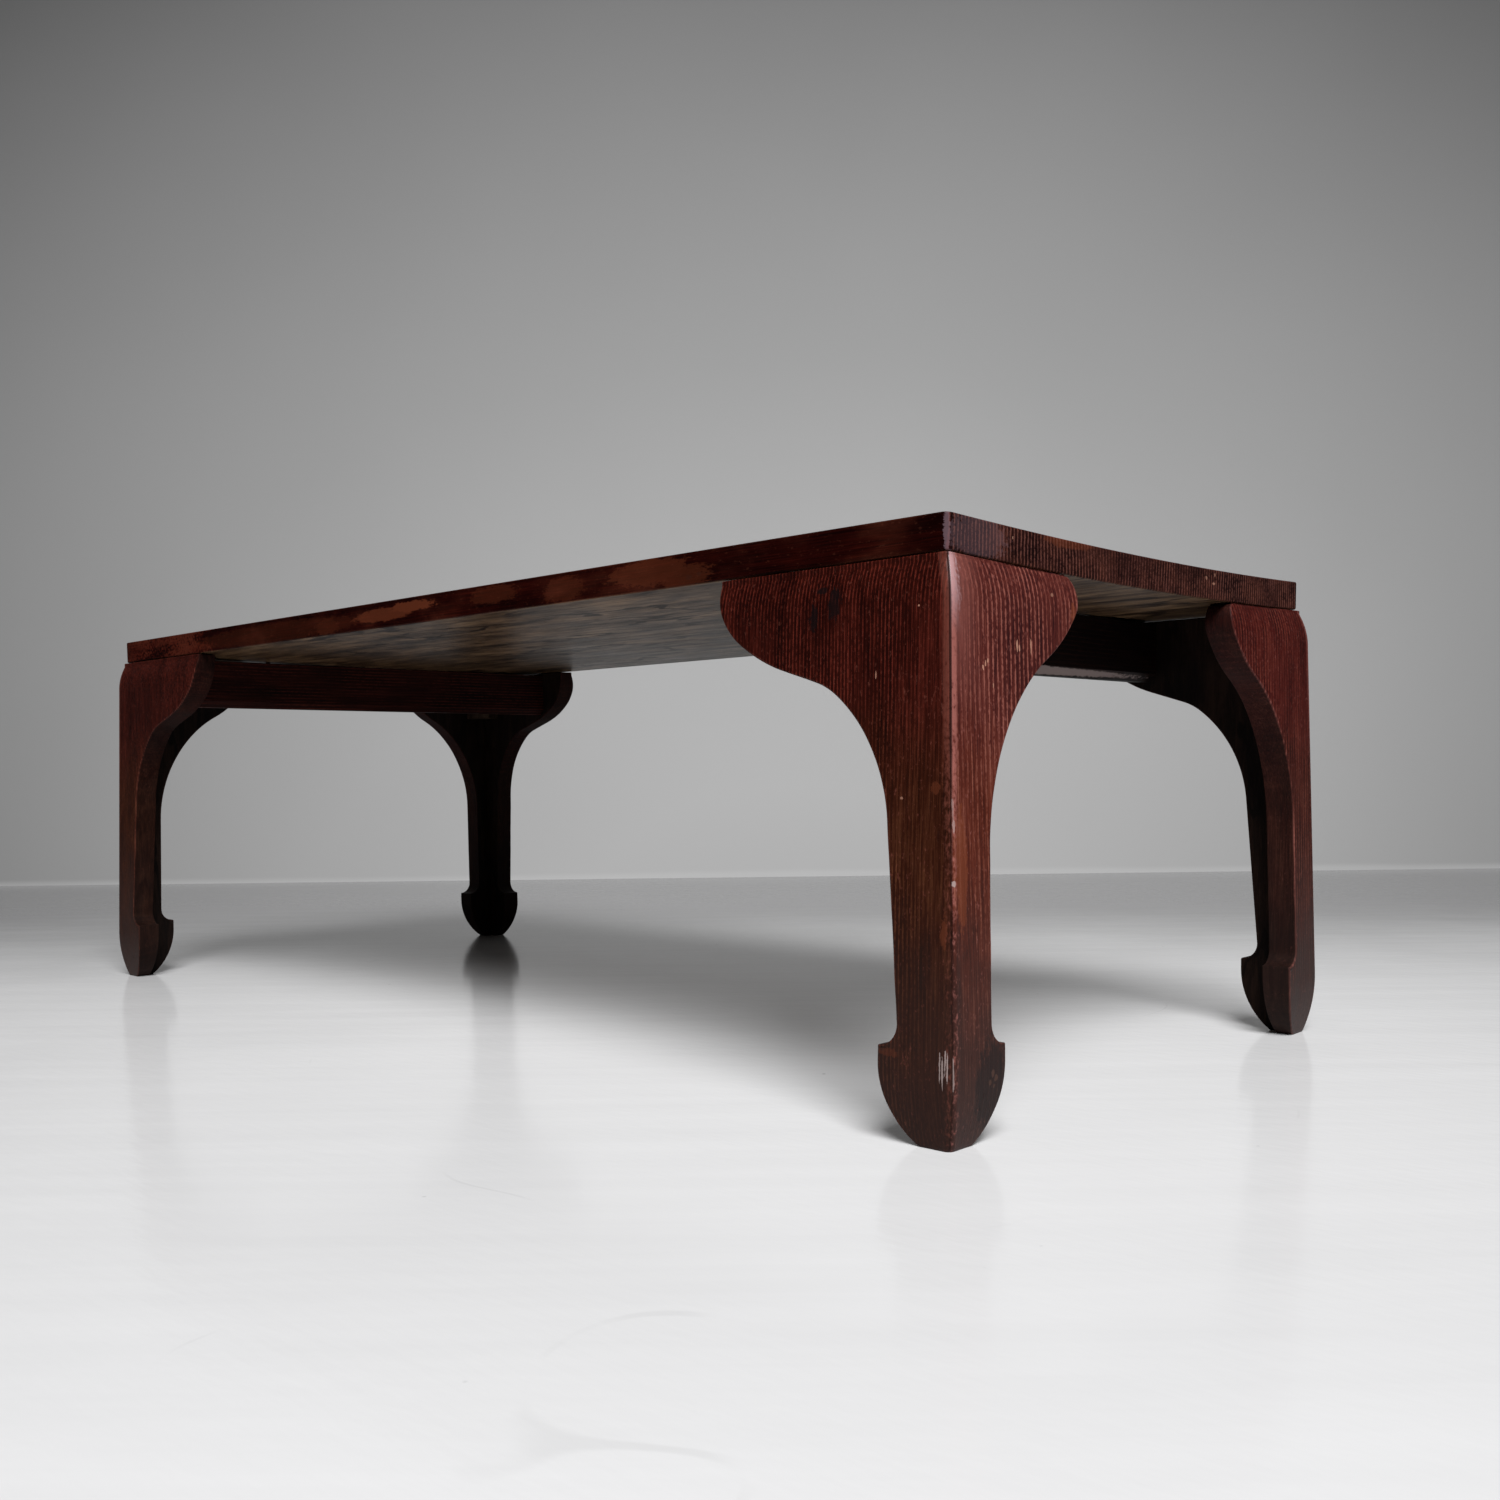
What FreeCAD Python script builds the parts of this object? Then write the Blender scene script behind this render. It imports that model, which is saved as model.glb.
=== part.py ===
"""Low kang table: a two-board top on four mitred corner legs, with a cross rail under each end.

Millimetres, +Z up, origin on the floor under the middle of the top, X along the length.
Front is -Y and right is +X. Each leg is two boards mitred together at the outer corner: a side board,
whose bracket runs along the long edge of the top, and an end board, whose bracket runs across its end.
"""
import FreeCAD, Part
import math
import os

import Sketcher

doc = FreeCAD.newDocument("kang_table")

# Driving dimensions

SIZES = (
    ("table_length", 985, "top, end to end"),
    ("table_width", 444, "top, front to back"),
    ("top_thickness", 20, "top boards"),
    ("leg_height", 310, "floor to the underside of the top, at the middle of its width"),
    ("cup_rise", 3.5, "how far the long edges of the top have risen above its middle"),
    ("seam_offset", 45, "seam between the top boards, in front of the middle"),
    ("top_corner_radius", 5, "upright corners of the top"),
    ("top_arris", 1, "bevel worn on the edges round the top"),
    ("tongue_thickness", 6, "loose tongue in the seam"),
    ("tongue_width", 24, "loose tongue, across the seam"),
    ("tongue_stop", 40, "from the ends of the top to the tongue"),
    ("leg_board", 20, "thickness of the leg boards"),
    ("leg_splay", 10, "how far a leg leans out from the top to the floor, both ways"),
    ("seat_gap", 0.8, "shadow gap between the leg tops and the top"),
    ("shoulder_proud", 5.8, "how far the shoulder stands out past the top"),
    ("shoulder_height", 28, "height of the rounded shoulder"),
    ("corner_radius", 4, "rounded outer corner of a leg"),
    ("foot_turn_height", 45, "where the outer face starts to turn in"),
    ("foot_turn_in", 7.5, "how far the outer face turns in at the sole"),
    ("sole_run", 12.5, "sole, from the line of the top's edge inwards"),
    ("foot_run", 35, "widest part of the foot, from the same line"),
    ("cheek_height", 45, "where the foot is widest"),
    ("step_height", 53.5, "the sharp step over the foot"),
    ("ankle_run", 22.6, "shaft just above the step"),
    ("ankle_height", 65.5, "top of the hollow over the step"),
    ("side_shaft_run", 31.8, "shaft of a side board where the bracket starts"),
    ("side_bracket_drop", 135.2, "underside of the top down to where the side bracket starts"),
    ("side_hollow_radius", 95, "side bracket, long hollow"),
    ("side_hollow_span", 47.5, "degrees"),
    ("side_elbow_radius", 45, "side bracket, tighter end of the hollow"),
    ("side_elbow_span", 20, "degrees"),
    ("side_slant_length", 28, "side bracket, straight stretch"),
    ("side_swell_radius", 110, "side bracket, swelling underside"),
    ("side_swell_span", 20, "degrees"),
    ("side_tip_radius", 43, "side bracket, round tip"),
    ("side_tip_span", 52, "degrees"),
    ("side_bracket_reach", 175, "room for the whole side bracket"),
    ("end_shaft_run", 24.8, "shaft of an end board where the bracket starts"),
    ("end_bracket_drop", 152.8, "underside of the top down to where the end bracket starts"),
    ("end_hollow_radius", 125, "end bracket, long hollow"),
    ("end_hollow_span", 42, "degrees"),
    ("end_elbow_radius", 108, "end bracket, tighter end of the hollow"),
    ("end_elbow_span", 18, "degrees"),
    ("end_slant_length", 1.5, "end bracket, straight stretch"),
    ("end_swell_radius", 97, "end bracket, swelling underside"),
    ("end_swell_span", 24.5, "degrees"),
    ("end_tip_radius", 15.3, "end bracket, round tip"),
    ("end_tip_span", 100, "degrees"),
    ("end_bracket_reach", 145, "room for the whole end bracket"),
    ("spline_thickness", 4, "spline in the mitre of a leg"),
    ("spline_width", 16, "spline, across the mitre"),
    ("spline_depth_share", 0.58, "place of the spline across the mitre, from the outer corner"),
    ("spline_start", 75, "floor to the lower end of the spline"),
    ("spline_recess", 6, "from the leg top down to the spline"),
    ("block_size", 26, "glue block in the inner corner of a leg"),
    ("block_chamfer", 13, "its cut-away corner"),
    ("block_height", 46, "glue block, upright"),
    ("rail_inset", 115, "end of the top to the middle of a rail"),
    ("rail_thickness", 22, "cross rail"),
    ("rail_height", 44, "cross rail"),
    ("rail_chamfer", 6, "lower edges of a rail"),
    ("tenon_thickness", 8, "rail tenon"),
    ("tenon_height", 25, "rail tenon"),
    ("tenon_length", 11, "rail tenon, past the shoulder"),
    ("joint_clearance", 0.3, "room round tenons, splines, tongue and screws, and over rails"),
    ("stub_length", 30, "stub tenons up into the top, along a leg board"),
    ("stub_thickness", 6, "stub tenons, across a leg board"),
    ("stub_height", 8, "stub tenons, above the leg boards"),
    ("side_stub_near", 50, "edge of the top to the middle of a side board's first stub"),
    ("side_stub_far", 134, "edge of the top to the middle of a side board's second stub"),
    ("end_stub_near", 42, "edge of the top to the middle of an end board's first stub"),
    ("end_stub_far", 98, "edge of the top to the middle of an end board's second stub"),
    ("screw_pitch", 130, "between the screws of a rail"),
    ("screw_count", 3, "screws in a rail"),
    ("screw_diameter", 4.5, "shank of a rail screw"),
    ("screw_head_diameter", 8, "head of a rail screw"),
    ("screw_head_height", 3, "head of a rail screw"),
    ("screw_bite", 12, "how far a screw reaches into the top"),
    ("counterbore_diameter", 9, "well for a screw head, in the underside of a rail"),
    ("counterbore_depth", 14, "well for a screw head"),
    ("cut_overrun", 6, "how far every cut runs past the wood"),
)

sheet = doc.addObject("Spreadsheet::Sheet", "Size")
for row, (alias, number, meaning) in enumerate(SIZES, 1):
    sheet.set(f"A{row}", alias)
    sheet.set(f"B{row}", str(number))
    sheet.set(f"C{row}", meaning)
    sheet.setAlias(f"B{row}", alias)
doc.recompute()


def size(formula):
    """The number that a formula on the sheet's cells gives."""
    return float(sheet.evalExpression(formula))


# Places that several boards share, as formulas on the sheet

HALF_LENGTH = "Size.table_length / 2"
HALF_WIDTH = "Size.table_width / 2"
CUP_RADIUS = "(Size.table_width ^ 2 / 4 + Size.cup_rise ^ 2) / (2 * Size.cup_rise)"
TOP_EDGE = "Size.leg_height + Size.cup_rise"


def underside(across):
    """Height of the cupped underside at a distance from the middle of the width."""
    return f"Size.leg_height + {CUP_RADIUS} - sqrt(({CUP_RADIUS}) ^ 2 - ({across}) ^ 2)"


def lean(height):
    """How far a leg's outer face stands outside the line of the top's edge at a height."""
    return f"Size.shoulder_proud + Size.leg_splay * (1 - ({height}) / Size.leg_height)"


def inner_face(height):
    """How far a leg board's inner face lies inside the line of the top's edge at a height."""
    return f"Size.leg_board - ({lean(height)})"


CLOSE = 1e-3
SEAM = "(-Size.seam_offset)"
TONGUE_FOOT = f"({underside(SEAM)} + (Size.top_thickness - Size.tongue_thickness) / 2)"
RAIL_TOP = "(Size.leg_height - Size.joint_clearance)"
RAIL_FOOT = f"({RAIL_TOP} - Size.rail_height)"
TENON_FOOT = f"({RAIL_FOOT} + (Size.rail_height - Size.tenon_height) / 2)"
TENON_END = f"({inner_face('Size.leg_height - Size.rail_height / 2')} - Size.tenon_length)"
BOARD_MIDDLE = f"(({inner_face('Size.leg_height')}) / 2)"
STUB_FOOT = f"({TOP_EDGE} - Size.stub_height)"
WELL_TOP = f"({RAIL_FOOT} + Size.counterbore_depth)"
SCREW_HOLE_RADIUS = "Size.screw_diameter / 2 + Size.joint_clearance"
SCREW_ROWS = [
    f"({row} - (Size.screw_count - 1) / 2) * Size.screw_pitch"
    for row in range(int(size("Size.screw_count")))
]


def stub_boxes(kind, room):
    """The stub tenons of one leg board, with room all round, by their sizes and how far in they start."""
    along = f"(Size.stub_length + 2 * {room})"
    across = f"(Size.stub_thickness + 2 * {room})"
    height = f"2 * Size.stub_height + {room}"
    for place in ("near", "far"):
        start = f"(Size.{kind}_stub_{place} - {along} / 2)"
        face = f"({BOARD_MIDDLE} - {across} / 2)"
        if kind == "side":
            yield place, {"Length": along, "Width": across, "Height": height}, (start, face)
        else:
            yield place, {"Length": across, "Width": along, "Height": height}, (face, start)


# Drawing

def origin_plane(body, role):
    """One of a body's own origin planes."""
    return next(feature for feature in body.Origin.OriginFeatures if feature.Role == role)


def new_sketch(body, name, role, offset=None):
    """A sketch flat on an origin plane of the body, or at an offset along that plane's normal."""
    sketch = body.newObject("Sketcher::SketchObject", name)
    sketch.AttachmentSupport = [(origin_plane(body, role), "")]
    sketch.MapMode = "FlatFace"
    if offset is not None:
        sketch.setExpression(".AttachmentOffset.Base.z", offset)
    return sketch


class Pencil:
    """Draws one closed outline of lines and arcs, each bound to the sheet.

    Points are given as two formulas. Flip is -1 where the first one runs against the sketch's own axis.
    """

    def __init__(self, sketch, flip, start):
        self.sketch = sketch
        self.flip = flip
        self.here = self.spot(start)
        self.heading = 0.0
        self.last = None
        self.first = None
        self.start = start

    @staticmethod
    def spot(point):
        return size(point[0]), size(point[1])

    def vector(self, point):
        return FreeCAD.Vector(self.flip * point[0], point[1], 0)

    def bind(self, kind, formula, *where):
        """A constraint whose value follows a formula."""
        value = size(formula)
        if kind == "Angle":
            value = math.radians(value)
        index = self.sketch.addConstraint(Sketcher.Constraint(kind, *where, value))
        self.sketch.setExpression(f"Constraints[{index}]", formula)

    def pin(self, edge, end, point):
        """Ties one end of an edge to its place."""
        self.bind("DistanceX", f"{self.flip} * ({point[0]})", -1, 1, edge, end)
        self.bind("DistanceY", point[1], -1, 1, edge, end)

    def add(self, curve, target, smooth):
        """Adds an edge that starts here and joins it to the one before."""
        edge = self.sketch.addGeometry(curve)
        start = self.vector(self.here)
        ends = sorted((1, 2), key=lambda end: (self.sketch.getPoint(edge, end) - start).Length)
        head, tail = ends
        if self.last is None:
            self.first = (edge, head)
            self.pin(edge, head, self.start)
        else:
            kind = "Tangent" if smooth else "Coincident"
            self.sketch.addConstraint(Sketcher.Constraint(kind, *self.last, edge, head))
        self.last = (edge, tail)
        self.here = target
        return edge, tail

    def line(self, *point):
        """A straight edge to a point."""
        target = self.spot(point)
        self.heading = math.atan2(target[1] - self.here[1], target[0] - self.here[0])
        edge, tail = self.add(Part.LineSegment(self.vector(self.here), self.vector(target)), target, False)
        self.pin(edge, tail, point)

    def glide(self, length):
        """A straight edge that goes on in the same direction."""
        reach = size(length)
        rise = (reach * math.cos(self.heading), reach * math.sin(self.heading))
        target = (self.here[0] + rise[0], self.here[1] + rise[1])
        edge, _ = self.add(Part.LineSegment(self.vector(self.here), self.vector(target)), target, True)
        self.bind("Distance", length, edge)

    def arc(self, point, radius, side):
        """An arc to a point, with its centre to the left (1) or the right (-1)."""
        target = self.spot(point)
        bend = size(radius)
        chord = math.dist(self.here, target)
        along = math.atan2(target[1] - self.here[1], target[0] - self.here[0])
        rise = bend - math.sqrt(bend ** 2 - chord ** 2 / 4)
        crown = (
            (self.here[0] + target[0]) / 2 + side * rise * math.sin(along),
            (self.here[1] + target[1]) / 2 - side * rise * math.cos(along),
        )
        curve = Part.Arc(self.vector(self.here), self.vector(crown), self.vector(target))
        self.heading = along + side * math.asin(chord / 2 / bend)
        edge, tail = self.add(curve, target, False)
        self.pin(edge, tail, point)
        self.bind("Radius", radius, edge)

    def bow(self, crown, point):
        """A shallow arc through a crown to a point."""
        target, middle = self.spot(point), self.spot(crown)
        curve = Part.Arc(self.vector(self.here), self.vector(middle), self.vector(target))
        edge, tail = self.add(curve, target, False)
        self.pin(edge, tail, point)
        mark = self.sketch.addGeometry(Part.Point(self.vector(middle)), True)
        self.pin(mark, 1, crown)
        self.sketch.addConstraint(Sketcher.Constraint("PointOnObject", mark, 1, edge))

    def roll(self, radius, side, span):
        """A smooth arc through a span of degrees, with its centre to the left (1) or the right (-1)."""
        bend, sweep = size(radius), math.radians(size(span))
        centre = (
            self.here[0] - side * bend * math.sin(self.heading),
            self.here[1] + side * bend * math.cos(self.heading),
        )
        begin = self.heading - side * math.pi / 2
        turns = [begin + side * part for part in (0, sweep / 2, sweep)]
        points = [
            (centre[0] + bend * math.cos(turn), centre[1] + bend * math.sin(turn)) for turn in turns
        ]
        self.heading += side * sweep
        edge, _ = self.add(Part.Arc(*[self.vector(point) for point in points]), points[2], True)
        self.bind("Radius", radius, edge)
        self.bind("Angle", span, edge)

    def rise(self, height):
        """An upright edge to a height."""
        target = (self.here[0], size(height))
        edge, tail = self.add(Part.LineSegment(self.vector(self.here), self.vector(target)), target, False)
        self.sketch.addConstraint(Sketcher.Constraint("Vertical", edge))
        self.bind("DistanceY", height, -1, 1, edge, tail)

    def close(self):
        """The last straight edge, back to the start."""
        target = self.spot(self.start)
        edge, tail = self.add(Part.LineSegment(self.vector(self.here), self.vector(target)), target, False)
        self.sketch.addConstraint(Sketcher.Constraint("Coincident", edge, tail, *self.first))


# Feature helpers

def cut_through(body, sketch, name):
    """Cuts a sketch's outline right through the body, both ways."""
    pocket = body.newObject("PartDesign::Pocket", name)
    pocket.Profile = sketch
    pocket.Type = "ThroughAll"
    pocket.Midplane = True
    return pocket


def leaning(feature):
    """Makes a pad or pocket follow the lean of the front right leg, which goes in as it rises."""
    feature.UseCustomVector = True
    splay = size("Size.leg_splay")
    feature.Direction = FreeCAD.Vector(-splay, splay, size("Size.leg_height"))
    feature.AlongSketchNormal = True


def solid_at(body, name, kind, sizes, base):
    """A box or cylinder added or cut: base is a box's lowest corner, or the foot of a cylinder's axis."""
    solid = body.newObject(f"PartDesign::{kind}", name)
    solid.AttachmentSupport = [(origin_plane(body, "XY_Plane"), "")]
    solid.MapMode = "FlatFace"
    for key, formula in sizes.items():
        solid.setExpression(key, formula)
    for axis, formula in zip("xyz", base):
        solid.setExpression(f".AttachmentOffset.Base.{axis}", formula)
    return solid


def edge_names(shape, wanted):
    """Names of the edges that pass a test."""
    return [f"Edge{number}" for number, edge in enumerate(shape.Edges, 1) if wanted(edge)]


def dress_edges(body, base, kind, name, amount, wanted):
    """Rounds or bevels the edges of a feature that pass a test."""
    doc.recompute()
    names = edge_names(base.Shape, wanted)
    if not names:
        raise RuntimeError(f"{body.Label}: no edges for {name}")
    dressing = body.newObject(f"PartDesign::{kind}", name)
    dressing.Base = (base, names)
    dressing.setExpression("Radius" if kind == "Fillet" else "Size", amount)
    return dressing


def corner_body(name):
    """A body whose origin is on the floor under the front right corner of the top."""
    body = doc.addObject("PartDesign::Body", f"front_right_{name}")
    body.setExpression(".Placement.Base.x", HALF_LENGTH)
    body.setExpression(".Placement.Base.y", f"-({HALF_WIDTH})")
    return body


def mirror_image(source, name, normal):
    """The piece on the other side of a middle plane of the table."""
    image = doc.addObject("Part::Mirroring", name)
    image.Source = source
    image.Normal = normal
    return image


def at_every_corner(piece, name):
    """The piece and its mirror images at the other three corners."""
    back_right = mirror_image(piece, f"back_right_{name}", FreeCAD.Vector(0, 1, 0))
    return [
        piece,
        back_right,
        mirror_image(piece, f"front_left_{name}", FreeCAD.Vector(1, 0, 0)),
        mirror_image(back_right, f"back_left_{name}", FreeCAD.Vector(1, 0, 0)),
    ]


def mirrored_over(body, originals, role):
    """Repeats features on the other side of one of the body's origin planes."""
    doc.recompute()
    mirror = body.newObject("PartDesign::Mirrored", "OtherSide")
    mirror.Originals = originals
    mirror.MirrorPlane = (origin_plane(body, role), [""])
    body.Tip = mirror


# Legs, drawn at the front right corner: X runs outwards along the table, Y inwards across it

def outer_profile(body, name, role, flip):
    """The waste outside a leg's outer face: round shoulder, leaning shaft, foot turned in to the sole."""
    shoulder = f"{TOP_EDGE} - Size.shoulder_height"
    above = f"{TOP_EDGE} + Size.cut_overrun"
    turn = "Size.foot_turn_height"
    foot_radius = "(Size.foot_turn_height ^ 2 + Size.foot_turn_in ^ 2) / (2 * Size.foot_turn_in)"
    shoulder_radius = f"(Size.shoulder_height ^ 2 + ({lean(shoulder)}) ^ 2) / (2 * ({lean(shoulder)}))"
    outside = f"-({lean(0)} + 2 * Size.cut_overrun)"
    sketch = new_sketch(body, name, role)
    pencil = Pencil(sketch, flip, ("0", TOP_EDGE))
    pencil.arc((f"-({lean(shoulder)})", shoulder), shoulder_radius, 1)
    pencil.line(f"-({lean(turn)})", turn)
    pencil.arc((f"Size.foot_turn_in - ({lean(0)})", "0"), foot_radius, 1)
    pencil.line(f"Size.foot_turn_in - ({lean(0)})", "-Size.cut_overrun")
    pencil.line(outside, "-Size.cut_overrun")
    pencil.line(outside, above)
    pencil.line("0", above)
    pencil.close()
    return sketch


def free_edge(body, name, role, flip, kind):
    """The waste past a board's free edge: foot, step, shaft and the swelling bracket under the top."""
    reach = f"Size.{kind}_bracket_reach + Size.cut_overrun"
    above = f"{TOP_EDGE} + Size.cut_overrun"
    turn_in = "(Size.foot_run - Size.sole_run)"
    sketch = new_sketch(body, name, role)
    pencil = Pencil(sketch, flip, ("Size.sole_run", "-Size.cut_overrun"))
    pencil.line("Size.sole_run", "0")
    foot_radius = f"({turn_in} ^ 2 + Size.cheek_height ^ 2) / (2 * {turn_in})"
    pencil.arc(("Size.foot_run", "Size.cheek_height"), foot_radius, 1)
    pencil.line("Size.foot_run", "Size.step_height")
    pencil.arc(("Size.ankle_run", "Size.ankle_height"), "Size.foot_run - Size.ankle_run", -1)
    pencil.line(f"Size.{kind}_shaft_run", f"Size.leg_height - Size.{kind}_bracket_drop")
    pencil.roll(f"Size.{kind}_hollow_radius", -1, f"Size.{kind}_hollow_span")
    pencil.roll(f"Size.{kind}_elbow_radius", -1, f"Size.{kind}_elbow_span")
    pencil.glide(f"Size.{kind}_slant_length")
    pencil.roll(f"Size.{kind}_swell_radius", 1, f"Size.{kind}_swell_span")
    pencil.roll(f"Size.{kind}_tip_radius", 1, f"Size.{kind}_tip_span")
    pencil.rise(above)
    pencil.line(reach, above)
    pencil.line(reach, "-Size.cut_overrun")
    pencil.close()
    return sketch


def leg_board(kind):
    """One board of a leg: a block shaped on both outer faces, hollowed, sawn to its bracket and mitred."""
    body = corner_body(f"leg_{kind}_board")
    outside = f"-({lean(0)} + Size.cut_overrun)"
    reach_x = "Size.side_bracket_reach" if kind == "side" else "2 * Size.leg_board"
    reach_y = "Size.end_bracket_reach" if kind == "end" else "2 * Size.leg_board"

    blank = new_sketch(body, "Blank", "XY_Plane")
    pencil = Pencil(blank, -1, (outside, outside))
    pencil.line(reach_x, outside)
    pencil.line(reach_x, reach_y)
    pencil.line(outside, reach_y)
    pencil.close()
    block = body.newObject("PartDesign::Pad", "Block")
    block.Profile = blank
    block.setExpression("Length", TOP_EDGE)

    cut_through(body, outer_profile(body, "FrontProfile", "YZ_Plane", 1), "LongFace")
    shaped = cut_through(body, outer_profile(body, "EndProfile", "XZ_Plane", -1), "EndFace")

    def on_outer_corner(edge):
        upright = abs(edge.Vertexes[0].Z - edge.Vertexes[-1].Z) > CLOSE
        return upright and all(abs(end.X + end.Y) < CLOSE and end.X > -CLOSE for end in edge.Vertexes)

    dress_edges(body, shaped, "Fillet", "RoundCorner", "Size.corner_radius", on_outer_corner)

    hollow = new_sketch(body, "Hollow", "XY_Plane")
    inside = inner_face(0)
    far_x, far_y = f"2 * {reach_x}", f"2 * {reach_y}"
    pencil = Pencil(hollow, -1, (inside, inside))
    pencil.line(far_x, inside)
    pencil.line(far_x, far_y)
    pencil.line(inside, far_y)
    pencil.close()
    inner = body.newObject("PartDesign::Pocket", "InnerFaces")
    inner.Profile = hollow
    inner.Type = "ThroughAll"
    leaning(inner)

    role, flip = ("XZ_Plane", -1) if kind == "side" else ("YZ_Plane", 1)
    cut_through(body, free_edge(body, "FreeEdge", role, flip, kind), "Bracket")
    scribe(body)
    mitre(body, kind)
    groove = body.newObject("PartDesign::Pocket", "SplineGroove")
    groove.Profile = spline_section(body, "GrooveSection", "Size.joint_clearance")
    groove.Type = "ThroughAll"
    leaning(groove)
    for place, box, (run_x, run_y) in stub_boxes(kind, "0"):
        base = (f"-{run_x} - ({box['Length']})", run_y, STUB_FOOT)
        solid_at(body, f"Stub_{place}", "AdditiveBox", box, base)
    if kind == "side":
        rail_mortise(body)
    return body


def scribe(body):
    """Cuts the leg top to the cupped underside of the top, a shadow gap below it."""
    sketch = new_sketch(body, "TopLine", "YZ_Plane")
    above = f"{TOP_EDGE} + Size.cut_overrun"
    outside = f"({lean(0)} + Size.cut_overrun)"
    pencil = Pencil(sketch, 1, (f"-{outside}", f"{underside(f'{HALF_WIDTH} + {outside}')} - Size.seat_gap"))
    pencil.bow(
        (f"{HALF_WIDTH} / 2", f"{underside(f'{HALF_WIDTH} / 2')} - Size.seat_gap"),
        (HALF_WIDTH, "Size.leg_height - Size.seat_gap"),
    )
    pencil.line(HALF_WIDTH, above)
    pencil.line(f"-{outside}", above)
    pencil.close()
    cut_through(body, sketch, "Scribe")


def mitre(body, kind):
    """Takes off everything past the mitre, which lies on the diagonal of the corner."""
    sketch = new_sketch(body, "MitreLine", "XY_Plane")
    high = f"(Size.{kind}_bracket_reach + Size.cut_overrun)"
    low = f"(-{high})"
    pencil = Pencil(sketch, -1, (low, low))
    pencil.line(high, high)
    if kind == "side":
        pencil.line(low, high)
    else:
        pencil.line(high, low)
    pencil.close()
    cut_through(body, sketch, "Mitre")


def rail_mortise(body):
    """The mortise for a rail's tenon, chopped into the inner face of a side board."""
    along = "(Size.tenon_thickness + 2 * Size.joint_clearance)"
    solid_at(
        body, "Mortise", "SubtractiveBox",
        {
            "Length": along,
            "Width": "Size.tenon_length + Size.joint_clearance + Size.cut_overrun",
            "Height": "Size.tenon_height + 2 * Size.joint_clearance",
        },
        (
            f"-Size.rail_inset - {along} / 2",
            f"{TENON_END} - Size.joint_clearance",
            f"{TENON_FOOT} - Size.joint_clearance",
        ),
    )


def spline_section(body, name, room):
    """The spline's section across the mitre, at its lower end, with room all round."""
    foot = f"(Size.spline_start - {room})"
    centre = f"(Size.leg_board * Size.spline_depth_share - ({lean(foot)}))"
    wide = f"(Size.spline_width / 2 + {room}) / sqrt(2)"
    thick = f"(Size.spline_thickness / 2 + {room}) / sqrt(2)"
    sketch = new_sketch(body, name, "XY_Plane", foot)
    pencil = Pencil(sketch, -1, (f"{centre} + {wide} + {thick}", f"{centre} - {wide} + {thick}"))
    pencil.line(f"{centre} + {wide} - {thick}", f"{centre} - {wide} - {thick}")
    pencil.line(f"{centre} - {wide} - {thick}", f"{centre} + {wide} - {thick}")
    pencil.line(f"{centre} - {wide} + {thick}", f"{centre} + {wide} + {thick}")
    pencil.close()
    return sketch


def mitre_spline():
    """The hidden spline across a leg's mitre, which follows the leaning corner."""
    body = corner_body("mitre_spline")
    strip = body.newObject("PartDesign::Pad", "Strip")
    strip.Profile = spline_section(body, "Section", "0")
    strip.setExpression("Length", f"{TOP_EDGE} - Size.seat_gap - Size.spline_recess - Size.spline_start")
    leaning(strip)
    return body


def glue_block():
    """The block rubbed into the inner corner of a leg, under the top."""
    body = corner_body("glue_block")
    foot = "(Size.leg_height - Size.block_height)"
    near = f"({inner_face(foot)})"
    far = f"({near} + Size.block_size)"
    cut = f"({far} - Size.block_chamfer)"
    sketch = new_sketch(body, "Section", "XY_Plane", foot)
    pencil = Pencil(sketch, -1, (near, near))
    for point in ((far, near), (far, cut), (cut, far), (near, far)):
        pencil.line(*point)
    pencil.close()
    block = body.newObject("PartDesign::Pad", "Block")
    block.Profile = sketch
    inmost = f"({HALF_WIDTH} - ({inner_face('Size.leg_height')}) - Size.block_size)"
    block.setExpression("Length", f"{underside(inmost)} - Size.joint_clearance - {foot}")
    leaning(block)
    return body


# Top

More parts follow.
